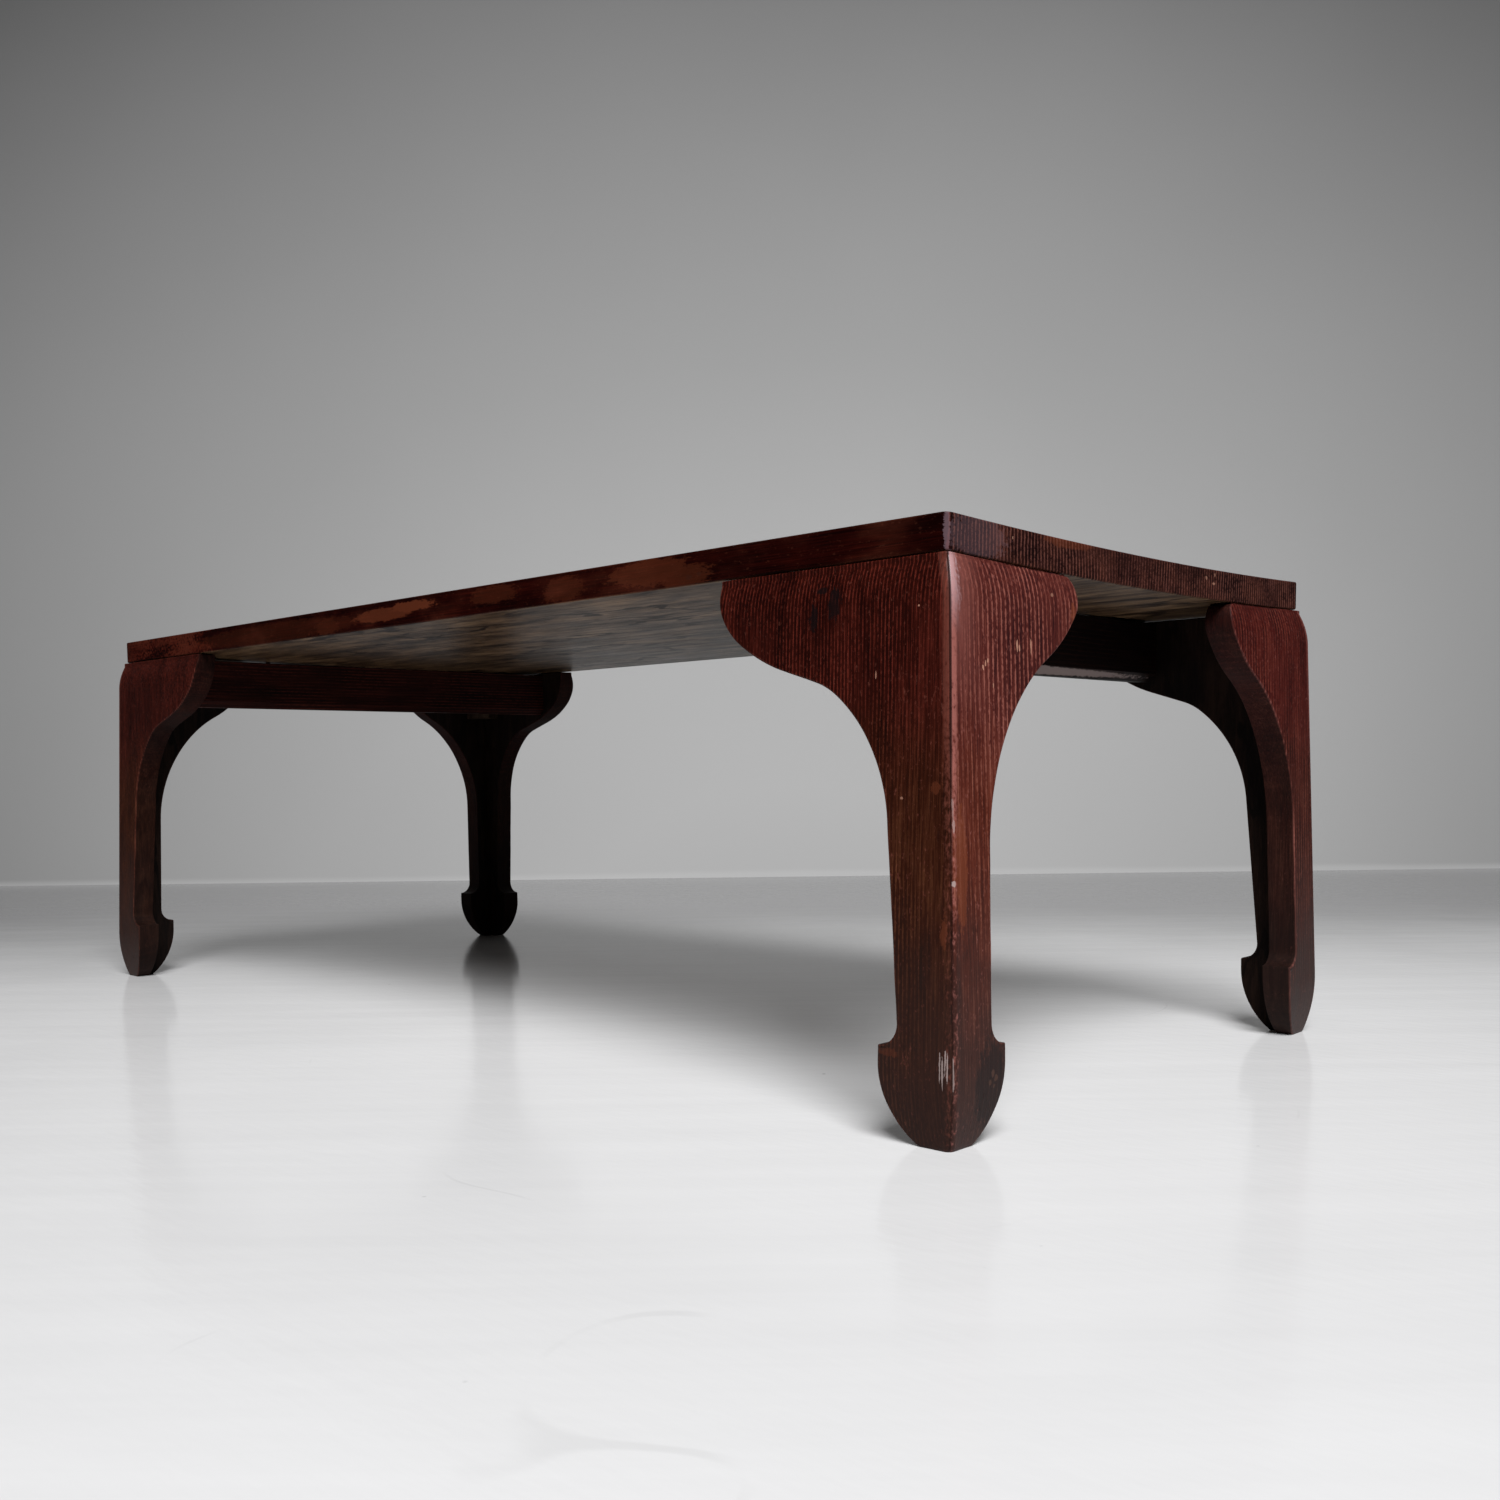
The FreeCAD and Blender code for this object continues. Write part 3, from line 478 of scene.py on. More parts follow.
@dataclass(frozen=True)
class Wood:
    """A stained wood, by its tones, the measure of its rings and its wear."""

    name: str
    face: Tones
    bare: Tones
    worn: Colour
    shaft: Tones | None = None
    ends: Tones | None = None
    ring_pitch: float = 3.2
    ring_share: float = 0.5
    ring_least: float = 0.15
    fibre_share: float = 0.8
    mottle_share: float = 0.5
    pore_share: float = 0.45
    streaks: float = 0.7
    brow: float = 0.0
    roughness: float = 0.4
    bare_dulling: float = 0.3
    bare_shine: float = 0.0
    gloss: float = 0.12
    sheen_roughness: float = 0.28
    relief: float = 0.4
    edge_wear: float = 0.0
    corner_wear: float = 0.0
    shoulder_shine: float = 0.0
    foot_grime: float = 0.0
    marks: tuple[Mark, ...] = ()

    def build(self) -> bpy.types.Material:
        """Draws the material.

        Returns:
            The finished material.
        """
        material, draft = new_material(self.name)
        place = draft.place()
        grain = draft.stored("grain", "Vector")
        across, depth, along = draft.parts(grain)
        slow = (draft.noise(grain, SLOW_SWAY) - 0.5) * SLOW_REACH
        quick = (draft.noise(grain, QUICK_SWAY) - 0.5) * QUICK_REACH
        swayed = across + slow + quick
        waved = draft.joined(swayed, depth, along)
        mottle = draft.noise(grain, MOTTLE)
        speckle = draft.noise(grain, SPECKLE)
        _, _, height = draft.parts(place)
        ring = self._ring(draft, waved, swayed, height)
        fibres = draft.noise(waved, FIBRES) - 0.5
        bands = draft.noise(waved, BANDS) - 0.5
        tone = ring * self.ring_share + fibres * self.fibre_share + bands * self.streaks
        tone = tone + (mottle - 0.5) * self.mottle_share + 0.5
        pores = draft.fade(draft.noise(waved, PORES), OPEN_PORES)
        colour = self.face.over(draft, tone)
        if self.shaft:
            lower = draft.fade(height + (mottle - 0.5) * SHAFT_SWAY, DOWN_THE_SHAFT)
            colour = draft.blend(lower, colour, self.shaft.over(draft, tone))
        if self.ends:
            colour = draft.blend(draft.stored("end"), colour, self.ends.over(draft, tone))
        colour = draft.blend(pores * self.pore_share, colour, self.face.deep)
        colour = draft.blend(draft.fade(speckle, PALE_SPECKS), colour, self.worn)
        if self.foot_grime:
            grime = draft.fade(height + (mottle - 0.5) * GRIME_SWAY, TOWARDS_FLOOR, high=self.foot_grime)
            colour = draft.blend(grime, colour, FLOOR_GRIME)
        colour = draft.blend(self._wear(draft, mottle, ring), colour, self.worn)
        bare = draft.stored("bare")
        plain = self._unlacquered(draft, waved, tone)
        sheen = bare * draft.fade(plain, BARE_SHEEN) * self.bare_shine
        if self.corner_wear:
            colour, sheen = self._rubbed_corner_and_highlight(draft, height, mottle, speckle, colour)
        # Unlacquered wood takes its own tones; on the legs these are the unlit tones, painted shade on the
        # inner faces and free edges
        colour = draft.blend(bare, colour, self.bare.over(draft, plain))
        relief = ring * self.ring_share + fibres * FIBRE_RELIEF + mottle * MOTTLE_RELIEF - pores * PORE_RELIEF
        roughness = mottle * MOTTLE_DULLING + pores * PORE_DULLING + bare * self.bare_dulling
        roughness = roughness + (self.roughness - MEAN_DULLING)
        if self.marks:
            ragged = (draft.noise(grain, RAGGED_EDGE) - 0.5) * RAGGED_REACH
            colour, relief, roughness = self._marked(draft, place, ragged, colour, relief, roughness)
        surface = draft.add("ShaderNodeBsdfPrincipled", None, {
            "Base Color": colour, "Roughness": roughness, "Normal": draft.bump(relief, self.relief, 0.25),
            "Specular IOR Level": self.gloss, "Coat Weight": sheen, "Coat Roughness": self.sheen_roughness,
        })
        close(draft, surface)
        return material

    def _ring(self, draft: Draft, waved: Term, swayed: Term, height: Term) -> Term:
        """Crests of the growth rings, which come and go and break up along the grain.

        Args:
            draft: The material's draft.
            waved: Grain coordinates with their sway.
            swayed: Their part across the grain.
            height: Height above the floor.

        Returns:
            A value about zero, high on a crest.
        """
        wave = draft.math("SINE", swayed * (math.tau / (self.ring_pitch * MM)))
        beads = draft.noise(waved, BEADS) - 0.5
        lively = draft.fade(draft.noise(waved, RING_LIFE), LIVELY_RINGS, low=self.ring_least)
        if self.corner_wear:
            lively = lively * draft.fade(draft.stored("corner"), RINGS_BY_CORNER)
            lively = draft.math("MAXIMUM", lively, draft.fade(height, RINGS_UNDER_TOP, high=self.brow))
        crest = draft.fade(wave + beads * BEAD_SHARE, CREST) - CREST_MEAN
        return crest * lively * (1.0 - draft.stored("bare"))

    @staticmethod
    def _unlacquered(draft: Draft, waved: Term, tone: Term) -> Term:
        """Tone of the wood without lacquer, with the dark wavy lines of its figure.

        Args:
            draft: The material's draft.
            waved: Grain coordinates with their sway.
            tone: Tone of the lacquered wood.

        Returns:
            The tone.
        """
        broad = draft.noise(waved, BROAD_FIGURE) - 0.5
        fine = draft.noise(waved, FINE_FIGURE) - 0.5
        from_path = draft.math("ABSOLUTE", draft.noise(waved, FIGURE_PATH) - 0.5)
        unbroken = draft.fade(draft.noise(waved, FIGURE_BREAKS), UNBROKEN)
        lines = draft.fade(from_path, FIGURE_LINE) * unbroken
        return tone + broad * FIGURE_SHARE + fine * FIGURE_SHARE - lines

    def _wear(self, draft: Draft, mottle: Term, ring: Term) -> Term:
        """How far the lacquer is rubbed off along the edges."""
        rubbed = draft.stored("edge") + mottle * EDGE_MOTTLE + ring * EDGE_RINGS
        return draft.fade(rubbed, RUBBED_EDGE, high=self.edge_wear)

    def _rubbed_corner_and_highlight(
        self, draft: Draft, height: Term, mottle: Term, speckle: Term, colour: Term
    ) -> tuple[Term, Term]:
        """Lays the rubbed band, the shoulder's painted highlight and sheen, and the dark mitre along the
        corner.

        Args:
            draft: The material's draft.
            height: Height above the floor.
            mottle: Soft noise.
            speckle: Fine noise.
            colour: Colour so far.

        Returns:
            The colour with the band and painted highlights on it, and the coat sheen there.
        """
        corner = draft.stored("corner")
        grit = speckle - 0.5
        near = corner + (mottle - 0.5) * CORNER_SWAY + grit * CORNER_GRIT
        # Near the top of the corner: partly rubbing, partly a painted sheen
        polish_and_sheen = draft.fade(near, POLISH_AND_SHEEN) * draft.fade(height, POLISH_AND_SHEEN_HEIGHT)
        band = draft.fade(near, RUBBED_BAND) * draft.fade(height, BAND_HEIGHT)
        rubbed = band + grit * BAND_GRIT + (mottle - 0.5) * BAND_MOTTLE
        rubbed = draft.fade(rubbed, RUBBED_THROUGH, high=self.corner_wear)
        colour = draft.blend(draft.math("MAXIMUM", rubbed, polish_and_sheen * self.shoulder_shine), colour, self.worn)
        # Painted highlight on the top of the rounded shoulder; the coat weight below adds the gloss itself
        shoulder = draft.fade(near + grit * SHOULDER_GRIT, SHOULDER) * draft.fade(height, SHOULDER_HEIGHT)
        colour = draft.blend(shoulder * self.shoulder_shine, colour, SHOULDER_HIGHLIGHT)
        sheen = shoulder * (self.shoulder_shine * SHOULDER_SHEEN) + band * BAND_SHEEN
        seam = draft.fade(corner, MITRE) * draft.fade(height, MITRE_HEIGHT)
        return draft.blend(seam, colour, MITRE_TINT), sheen

    def _marked(
        self, draft: Draft, place: Term, ragged: Term, colour: Term, relief: Term, roughness: Term
    ) -> tuple[Term, Term, Term]:
        """Lays the marks over the wood.

        Args:
            draft: The material's draft.
            place: Object coordinates.
            ragged: Noise about zero that breaks the outlines up.
            colour: Colour so far.
            relief: Height for the bump so far.
            roughness: Roughness so far.

        Returns:
            Colour, relief and roughness with the marks on them.
        """
        for kind, look in MARK_LOOKS.items():
            masks = [mark.mask(draft, place, ragged) for mark in self.marks if mark.kind is kind]
            if not masks:
                continue
            mask = masks[0]
            for other in masks[1:]:
                mask = draft.math("MAXIMUM", mask, other)
            colour = draft.blend(mask * look.strength, colour, look.tint)
            relief = relief + mask * look.rise
            roughness = roughness + mask * look.dulling
        return colour, relief, roughness


def close(draft: Draft, surface: Term) -> None:
    """Ends a material on a surface."""
    draft.tree.links.new(surface.socket, draft.add_node("ShaderNodeOutputMaterial").inputs[0])


@dataclass(frozen=True)
class DarkenedSteel:
    """Dull steel with a brown bloom."""

    name: str = "darkened_steel"
    bright: Colour = paint(120, 114, 106)
    bloom: Colour = paint(58, 40, 30)
    patches: Cloud = Cloud((400.0, 400.0, 400.0), 4.0, 0.6)
    rusted: Step = Step(0.42, 0.6)

    def build(self) -> bpy.types.Material:
        """Draws the material.

        Returns:
            The finished material.
        """
        material, draft = new_material(self.name)
        cloud = draft.noise(draft.place(), self.patches)
        rust = draft.fade(cloud, self.rusted)
        close(draft, draft.add("ShaderNodeBsdfPrincipled", None, {
            "Base Color": draft.blend(rust, self.bright, self.bloom), "Metallic": rust * -0.7 + 0.9,
            "Roughness": rust * 0.35 + 0.35, "Normal": draft.bump(cloud, 0.3, 0.05),
        }))
        return material


# Meshes

def write_mesh(name: str, points: np.ndarray, faces: Iterable[Sequence[int]]) -> bpy.types.Mesh:
    """A smooth mesh from points and faces, with its faces turned outwards.

    Args:
        name: The mesh's name.
        points: Places in millimetres, one row each.
        faces: Rows of point numbers.

    Returns:
        The mesh, in metres.
    """
    mesh = bpy.data.meshes.new(name)
    mesh.from_pydata((np.asarray(points) * MM).tolist(), [], [list(face) for face in faces])
    shape = bmesh.new()
    shape.from_mesh(mesh)
    bmesh.ops.recalc_face_normals(shape, faces=shape.faces)
    shape.to_mesh(mesh)
    shape.free()
    mesh.shade_smooth()
    return mesh


def mesh_points(mesh: bpy.types.Mesh) -> np.ndarray:
    """The places of a mesh's points.

    Args:
        mesh: The mesh.

    Returns:
        The places in metres, one row each.
    """
    flat = np.empty(len(mesh.vertices) * 3)
    mesh.vertices.foreach_get("co", flat)
    return flat.reshape(-1, 3)


def store(mesh: bpy.types.Mesh, name: str, values: np.ndarray) -> None:
    """Stores numbers or vectors on a mesh's points.

    Args:
        mesh: The mesh.
        name: The attribute's name.
        values: One number or one row of three for each point.
    """
    kind, field = ("FLOAT_VECTOR", "vector") if values.ndim == 2 else ("FLOAT", "value")
    attribute = mesh.attributes.new(name, kind, "POINT")
    attribute.data.foreach_set(field, values.astype(np.float32).ravel())


def settle(name: str, mesh: bpy.types.Mesh, material: bpy.types.Material, node: str) -> None:
    """Makes a finished piece of a mesh and puts it in place of its node.

    Args:
        name: The piece's name.
        mesh: The finished mesh.
        material: Its finish.
        node: The node that it stands for.
    """
    mesh.materials.clear()
    mesh.materials.append(material)
    piece = bpy.data.objects.new(name, mesh)
    bpy.context.scene.collection.objects.link(piece)
    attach(piece, BODY)
    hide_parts(node)
    log.info("%s: %d points", name, len(mesh.vertices))


def baked(name: str, mesh: bpy.types.Mesh, *modifiers: tuple[str, dict]) -> bpy.types.Mesh:
    """A mesh with modifiers worked into it.

    Args:
        name: Name for the result.
        mesh: The mesh to start from.
        modifiers: Type and settings of each modifier.

    Returns:
        A plain mesh.
    """
    holder = bpy.data.objects.new(f"{name}_blank", mesh)
    bpy.context.scene.collection.objects.link(holder)
    for kind, settings in modifiers:
        modifier = holder.modifiers.new(kind.title(), kind)
        for key, value in settings.items():
            if key.startswith("Socket_"):
                modifier[key] = value
            else:
                setattr(modifier, key, value)
    bpy.context.view_layer.update()
    graph = bpy.context.evaluated_depsgraph_get()
    result = bpy.data.meshes.new_from_object(
        holder.evaluated_get(graph), preserve_all_data_layers=True, depsgraph=graph
    )
    result.name = name
    bpy.data.objects.remove(holder)
    return result


def weighted() -> tuple[str, dict]:
    """A modifier that keeps broad faces flat to the eye beside small round edges."""
    return "WEIGHTED_NORMAL", {"keep_sharp": True}


def round_edges(
    mesh: bpy.types.Mesh, width: float, steps: int, wanted: Callable[[bmesh.types.BMEdge], bool]
) -> None:
    """Rounds the edges of a mesh that pass a test.

    Args:
        mesh: The mesh, changed in place.
        width: Width of the rounding, in millimetres.
        steps: Faces across it.
        wanted: The test for an edge.
    """
    shape = bmesh.new()
    shape.from_mesh(mesh)
    edges = [edge for edge in shape.edges if len(edge.link_faces) == 2 and wanted(edge)]
    bmesh.ops.bevel(
        shape, geom=edges, offset=width * MM, offset_type="OFFSET", segments=steps, profile=0.5,
        affect="EDGES", clamp_overlap=True,
    )
    shape.to_mesh(mesh)
    shape.free()
    mesh.shade_smooth()


SHARP = math.radians(40)
FLAT = math.radians(1)


def sharp(edge: bmesh.types.BMEdge) -> bool:
    """Whether the faces beside an edge turn by more than forty degrees."""
    return edge.calc_face_angle(0.0) > SHARP


MOST_STRETCH = 1.5
LEAST_SHARE = 0.2


class Outline:
    """A line of straights and arcs, drawn in run and height and turned into points as it goes."""

    def __init__(self, run: float, height: float) -> None:
        """Starts at a point."""
        self.points = [(run, height)]
        self.heading = 0.0

    def line(self, run: float, height: float, pitch: float) -> None:
        """A straight to a point.

        Args:
            run: Run of the point.
            height: Height of the point.
            pitch: Longest step between the points made.
        """
        old = self.points[-1]
        steps = max(1, math.ceil(math.dist(old, (run, height)) / pitch))
        self.heading = math.atan2(height - old[1], run - old[0])
        for step in range(1, steps + 1):
            share = step / steps
            self.points.append((old[0] + share * (run - old[0]), old[1] + share * (height - old[1])))

    def arc(self, run: float, height: float, radius: float, side: int, steps: int) -> None:
        """An arc to a point.

        Args:
            run: Run of the point.
            height: Height of the point.
            radius: The arc's radius.
            side: 1 with the centre to the left, -1 with it to the right.
            steps: Steps along the arc.
        """
        old = self.points[-1]
        chord = math.dist(old, (run, height))
        along = math.atan2(height - old[1], run - old[0])
        half = math.asin(chord / 2 / radius)
        self.heading = along - side * half
        self.roll(radius, side, math.degrees(2 * half), steps)

    def roll(self, radius: float, side: int, span: float, steps: int) -> None:
        """A smooth arc through a span of degrees.

        Args:
            radius: The arc's radius.
            side: 1 with the centre to the left, -1 with it to the right.
            span: Degrees that it turns.
            steps: Steps along the arc.
        """
        start = self.points[-1]
        middle = (
            start[0] - side * radius * math.sin(self.heading),
            start[1] + side * radius * math.cos(self.heading),
        )
        begin = self.heading - side * math.pi / 2
        for step in range(1, steps + 1):
            turn = begin + side * math.radians(span) * step / steps
            self.points.append((middle[0] + radius * math.cos(turn), middle[1] + radius * math.sin(turn)))
        self.heading += side * math.radians(span)

    def inward(self) -> list[tuple[float, float]]:
        """Directions into the wood, to the left of the line, one for each point.

        Returns:
            Run and height of each direction, longer at a sharp turn so that an offset keeps its width.
        """
        path = [Vector(point) for point in self.points]
        headings = [(after - before).normalized() for before, after in zip(path, path[1:])]
        before = [headings[0], *headings]
        after = [*headings, headings[-1]]
        result = []
        for first, second in zip(before, after):
            middle = (first + second).normalized()
            stretch = min(MOST_STRETCH, 1 / max(LEAST_SHARE, middle.dot(first)))
            result.append((-middle.y * stretch, middle.x * stretch))
        return result


# The table's own measures

@dataclass(frozen=True)
class TableSize:
    """Measures that the boards share."""

    length: float = 985.0
    width: float = 444.0
    top_thickness: float = 20.0
    leg_height: float = 310.0
    cup_rise: float = 3.5
    seam: float = -45.0
    seat_gap: float = 0.8

    @property
    def cup_radius(self) -> float:
        """Radius of the cupped faces of the top."""
        return (self.width ** 2 / 4 + self.cup_rise ** 2) / (2 * self.cup_rise)

    @property
    def top_edge(self) -> float:
        """Height of the underside at the long edges."""
        return self.leg_height + self.cup_rise

    def underside(self, across: float) -> float:
        """Height of the underside at a distance from the middle of the width."""
        return self.leg_height + self.cup_radius - math.sqrt(self.cup_radius ** 2 - across ** 2)


SIZE = TableSize()
CORNERS: dict[str, Corner] = {
    "front_right": (1, -1),
    "back_right": (1, 1),
    "front_left": (-1, -1),
    "back_left": (-1, 1),
}


class Board(Enum):
    """The two boards of a leg."""

    SIDE = "side"
    END = "end"


@dataclass(frozen=True)
class Bracket:
    """Free edge of a leg board from the shaft up to the tip under the top; arcs are a radius and a span."""

    shaft_run: float
    drop: float
    hollow: tuple[float, float]
    elbow: tuple[float, float]
    slant: float
    swell: tuple[float, float]
    tip: tuple[float, float]


BRACKETS = {
    Board.SIDE: Bracket(31.8, 135.2, (95.0, 47.5), (45.0, 20.0), 28.0, (110.0, 20.0), (43.0, 52.0)),
    Board.END: Bracket(24.8, 152.8, (125.0, 42.0), (108.0, 18.0), 1.5, (97.0, 24.5), (15.3, 100.0)),
}
FAR_FROM_CORNER = 50.0
FACE_WAVES = (0.03, 0.02, 7.1)
ARRIS_WAVES = (0.05, 0.06, 3.3)
ARRIS_MEAN = 0.8
ARRIS_SWING = 0.5
STUB_PLACES = {Board.SIDE: (50.0, 134.0), Board.END: (42.0, 98.0)}
GRAIN_OFFSET = np.array([0.31, 0.17, 0.53])
BOX_FACES = ((0, 1, 2, 3), (4, 5, 6, 7), (0, 1, 5, 4), (1, 2, 6, 5), (2, 3, 7, 6), (3, 0, 4, 7))


@dataclass(frozen=True)
class Leg:
    """A corner leg of two mitred boards, drawn as run along a board, depth into it and height."""

    thickness: float = 20.0
    splay: float = 10.0
    shoulder_proud: float = 5.8
    shoulder_height: float = 28.0
    corner_radius: float = 4.0
    corner_turns: tuple[float, ...] = (227.0, 238.0, 249.0, 260.0, 270.0)
    corner_room: float = 2.0
    turn_height: float = 45.0
    turn_in: float = 7.5
    sole_run: float = 12.5
    foot_run: float = 35.0
    cheek_height: float = 45.0
    step_height: float = 53.5
    step_round: float = 0.9
    step_turn: float = 84.0
    ankle_run: float = 22.6
    ankle_height: float = 65.5
    outer_arris: float = 1.1
    inner_arris: float = 0.6
    end_arris: float = 0.5
    arris_turns: tuple[float, ...] = (0.0, 30.0, 60.0, 90.0)
    seam_depth: float = 0.35
    support: float = 0.7
    columns: int = 12
    unevenness: float = 0.18
    row_pitch: float = 4.0
    middle_rows: tuple[float, float] = (0.45, 0.55)
    cap_rows: tuple[float, ...] = (0.3, 0.6, 0.85, 1.0)
    # On the free edges the wood is partly unlacquered and takes that share of the painted shade
    edge_bare: float = 0.7
    edge_worn: float = 0.75
    beside_edge_worn: float = 0.35
    inner_edge_worn: float = 0.3
    beside_inner_edge_worn: float = 0.1
    worn_slope: float = 3.0
    stub_length: float = 30.0
    stub_thickness: float = 6.0
    stub_height: float = 8.0

    def lean(self, height: float) -> float:
        """How far a straight outer face stands out from the line of the top's edge."""
        return self.shoulder_proud + self.splay * (1 - height / SIZE.leg_height)

    def proud(self, height: float) -> float:
        """How far the shaped outer face stands out from the line of the top's edge.

        Args:
            height: Height above the floor.

        Returns:
            The distance, less over the round shoulder and the turned-in foot.
        """
        start = SIZE.top_edge - self.shoulder_height
        if height > start:
            reach = self.lean(start)
            radius = (self.shoulder_height ** 2 + reach ** 2) / (2 * reach)
            return self._on_arc((0.0, SIZE.top_edge), (-reach, start), radius, height)
        if height < self.turn_height:
            reach = self.lean(self.turn_height)
            foot = self.lean(0) - self.turn_in
            radius = (self.turn_height ** 2 + self.turn_in ** 2) / (2 * self.turn_in)
            return self._on_arc((-reach, self.turn_height), (-foot, 0.0), radius, height)
        return self.lean(height)

    @staticmethod
    def _on_arc(high: tuple[float, float], low: tuple[float, float], radius: float, height: float) -> float:
        """Outward distance on an arc that runs down from one point to another, centre to the left.

        Args:
            high: Depth and height of the upper end.
            low: Depth and height of the lower end.
            radius: The arc's radius.
            height: Height at which it is read.

        Returns:
            The distance, outwards from the line of the top's edge.
        """
        chord = math.dist(high, low)
        middle = ((high[0] + low[0]) / 2, (high[1] + low[1]) / 2)
        along = ((low[0] - high[0]) / chord, (low[1] - high[1]) / chord)
        rise = math.sqrt(max(0.0, radius ** 2 - chord ** 2 / 4))
        centre = (middle[0] - along[1] * rise, middle[1] + along[0] * rise)
        return -(centre[0] - math.sqrt(max(0.0, radius ** 2 - (height - centre[1]) ** 2)))

    def free_edge(self, bracket: Bracket) -> Outline:
        """The free edge of a board from the sole to the bracket's tip.

        Args:
            bracket: The bracket of this board.

        Returns:
            The outline, in run and height.
        """
        line = Outline(self.sole_run, 0.0)
        turn = self.foot_run - self.sole_run
        radius = (turn ** 2 + self.cheek_height ** 2) / (2 * turn)
        line.arc(self.foot_run, self.cheek_height, radius, 1, steps=16)
        line.line(self.foot_run, self.step_height - self.step_round, pitch=3.0)
        line.roll(self.step_round, 1, self.step_turn, steps=4)
        start = line.points[-1]
        hollow = self.ankle_height - start[1]
        line.arc(self.ankle_run, self.ankle_height, max(start[0] - self.ankle_run, hollow), -1, steps=10)
        line.line(bracket.shaft_run, SIZE.leg_height - bracket.drop, pitch=7.0)
        line.roll(bracket.hollow[0], -1, bracket.hollow[1], steps=22)
        line.roll(bracket.elbow[0], -1, bracket.elbow[1], steps=8)
        slant = line.points[-1]
        line.line(
            slant[0] + bracket.slant * math.cos(line.heading),
            slant[1] + bracket.slant * math.sin(line.heading),
            pitch=5.0,
        )
        line.roll(bracket.swell[0], 1, bracket.swell[1], steps=10)
        line.roll(bracket.tip[0], 1, bracket.tip[1], steps=14)
        return line

    def build(self, board: Board, corner: Corner, seed: int) -> bpy.types.Mesh:
        """Builds one board as a stack of rings round its section.

        Args:
            board: Which of the two boards.
            corner: Signs of the corner's place along X and Y.
            seed: Number that tells this board's wood from the others'.

        Returns:
            The mesh, with its grain and wear stored.
        """
        outline = self.free_edge(BRACKETS[board])
        rows = self._denser([(*point, *way) for point, way in zip(outline.points, outline.inward())])
        top_row = rows[-1]
        rings = [self._ring(board, rows[0], self.end_arris, seed, lambda own, cap: 0.0)]
        rings.append(self._ring(board, rows[0], 0.0, seed, lambda own, cap: self.end_arris))
        rings += [
            self._ring(board, row, 0.0, seed, lambda own, cap: min(own, cap - 1.5 * self.end_arris))
            for row in rows[1:]
        ]
        for share in self.cap_rows:
            rings.append(self._ring(
                board, top_row, 0.0, seed,
                lambda own, cap, share=share: own + share * (cap - self.end_arris - own),
            ))
        rings.append(self._ring(board, top_row, self.end_arris, seed, lambda own, cap: cap))
        count = len(rings[0])
        faces = []
        for row in range(len(rings) - 1):
            base = row * count
            for step in range(count):
                after = (step + 1) % count
                faces.append((base + step, base + after, base + count + after, base + count + step))
        for base in (0, (len(rings) - 1) * count):
            for step in range(count // 2 - 1):
                faces.append((base + step, base + step + 1, base + count - 2 - step, base + count - 1 - step))
        stub_points, stub_faces = self._stubs(board, len(rings) * count)
        whole = np.array([point for ring in rings for point in ring] + stub_points)
        points, wear = whole[:, :3], whole[:, 3:]
        mesh = write_mesh(f"leg_{board.value}", self._placed(board, corner, points), faces + stub_faces)
        store(mesh, "grain", points * MM + GRAIN_OFFSET * seed)
        store(mesh, "edge", wear[:, 0])
        store(mesh, "corner", wear[:, 1] * MM)
        store(mesh, "bare", wear[:, 2])
        return mesh

    def _denser(self, rows: list[tuple]) -> list[tuple]:
        """Adds rows where the free edge rises by more than the row pitch in one step.

        Args:
            rows: Run and height of the free edge and its direction into the wood, one row for each point.

        Returns:
            The rows with the new ones between them.
        """
        result = [rows[0]]
        for row in rows[1:]:
            last = result[-1]
            steps = max(1, math.ceil((row[1] - last[1]) / self.row_pitch))
            for step in range(1, steps + 1):
                share = step / steps
                result.append(tuple(a + share * (b - a) for a, b in zip(last, row)))
        return result

    def _ring(
        self, board: Board, row: tuple, inset: float, seed: int, level: Callable[[float, float], float]
    ) -> list[tuple]:
        """Points round the section of a board at one row of its free edge.

        Args:
            board: Which of the two boards.
            row: Run and height of the free edge, and its direction into the wood.
            inset: How much smaller the ring is than the board.
            seed: Number that sets its unevenness.
            level: Height of a point, from its own height and that of the leg's top over it.

        Returns:
            For every point its run, depth and height, how near it is to a worn edge, its distance from the
            corner and how far the wood is unlacquered there, which on a leg also lays painted shade.
        """
        run, height, way_run, way_height = row
        points = []

        def put(
            at_run: float, at_depth: float, own: float, worn: float, bare: float,
            corner: float = FAR_FROM_CORNER,
        ) -> None:
            """Adds a point.

            Args:
                at_run: Its run.
                at_depth: Its depth.
                own: Its own height, before the ring's level.
                worn: How near it is to a worn edge.
                bare: How far the wood is unlacquered there, which on a leg also paints it in shade.
                corner: Its distance from the corner.
            """
            across = SIZE.width / 2 - (at_depth if board is Board.SIDE else at_run)
            cap = SIZE.underside(across) - SIZE.seat_gap
            points.append((at_run, at_depth, level(own, cap), worn, corner, bare))

        def outer(at_run: float, own: float, sunk: float, worn: float, bare: float = 0.0) -> None:
            """Adds a point on the outer face, with the face's slight unevenness.

            Args:
                at_run: Its run.
                own: Its own height.
                sunk: How far it lies behind the face.
                worn: How near it is to a worn edge.
                bare: How far the wood is unlacquered there, which on a leg also paints it in shade.
            """
            wave_run, wave_height, wave_gap = FACE_WAVES
            spot = Vector((at_run * wave_run, own * wave_height, seed * wave_gap))
            ripple = noise.noise(spot) * self.unevenness
            stand = self.proud(min(own, SIZE.top_edge))
            put(at_run, -stand + inset + sunk + max(0.0, ripple), own, worn, bare, at_run + stand)

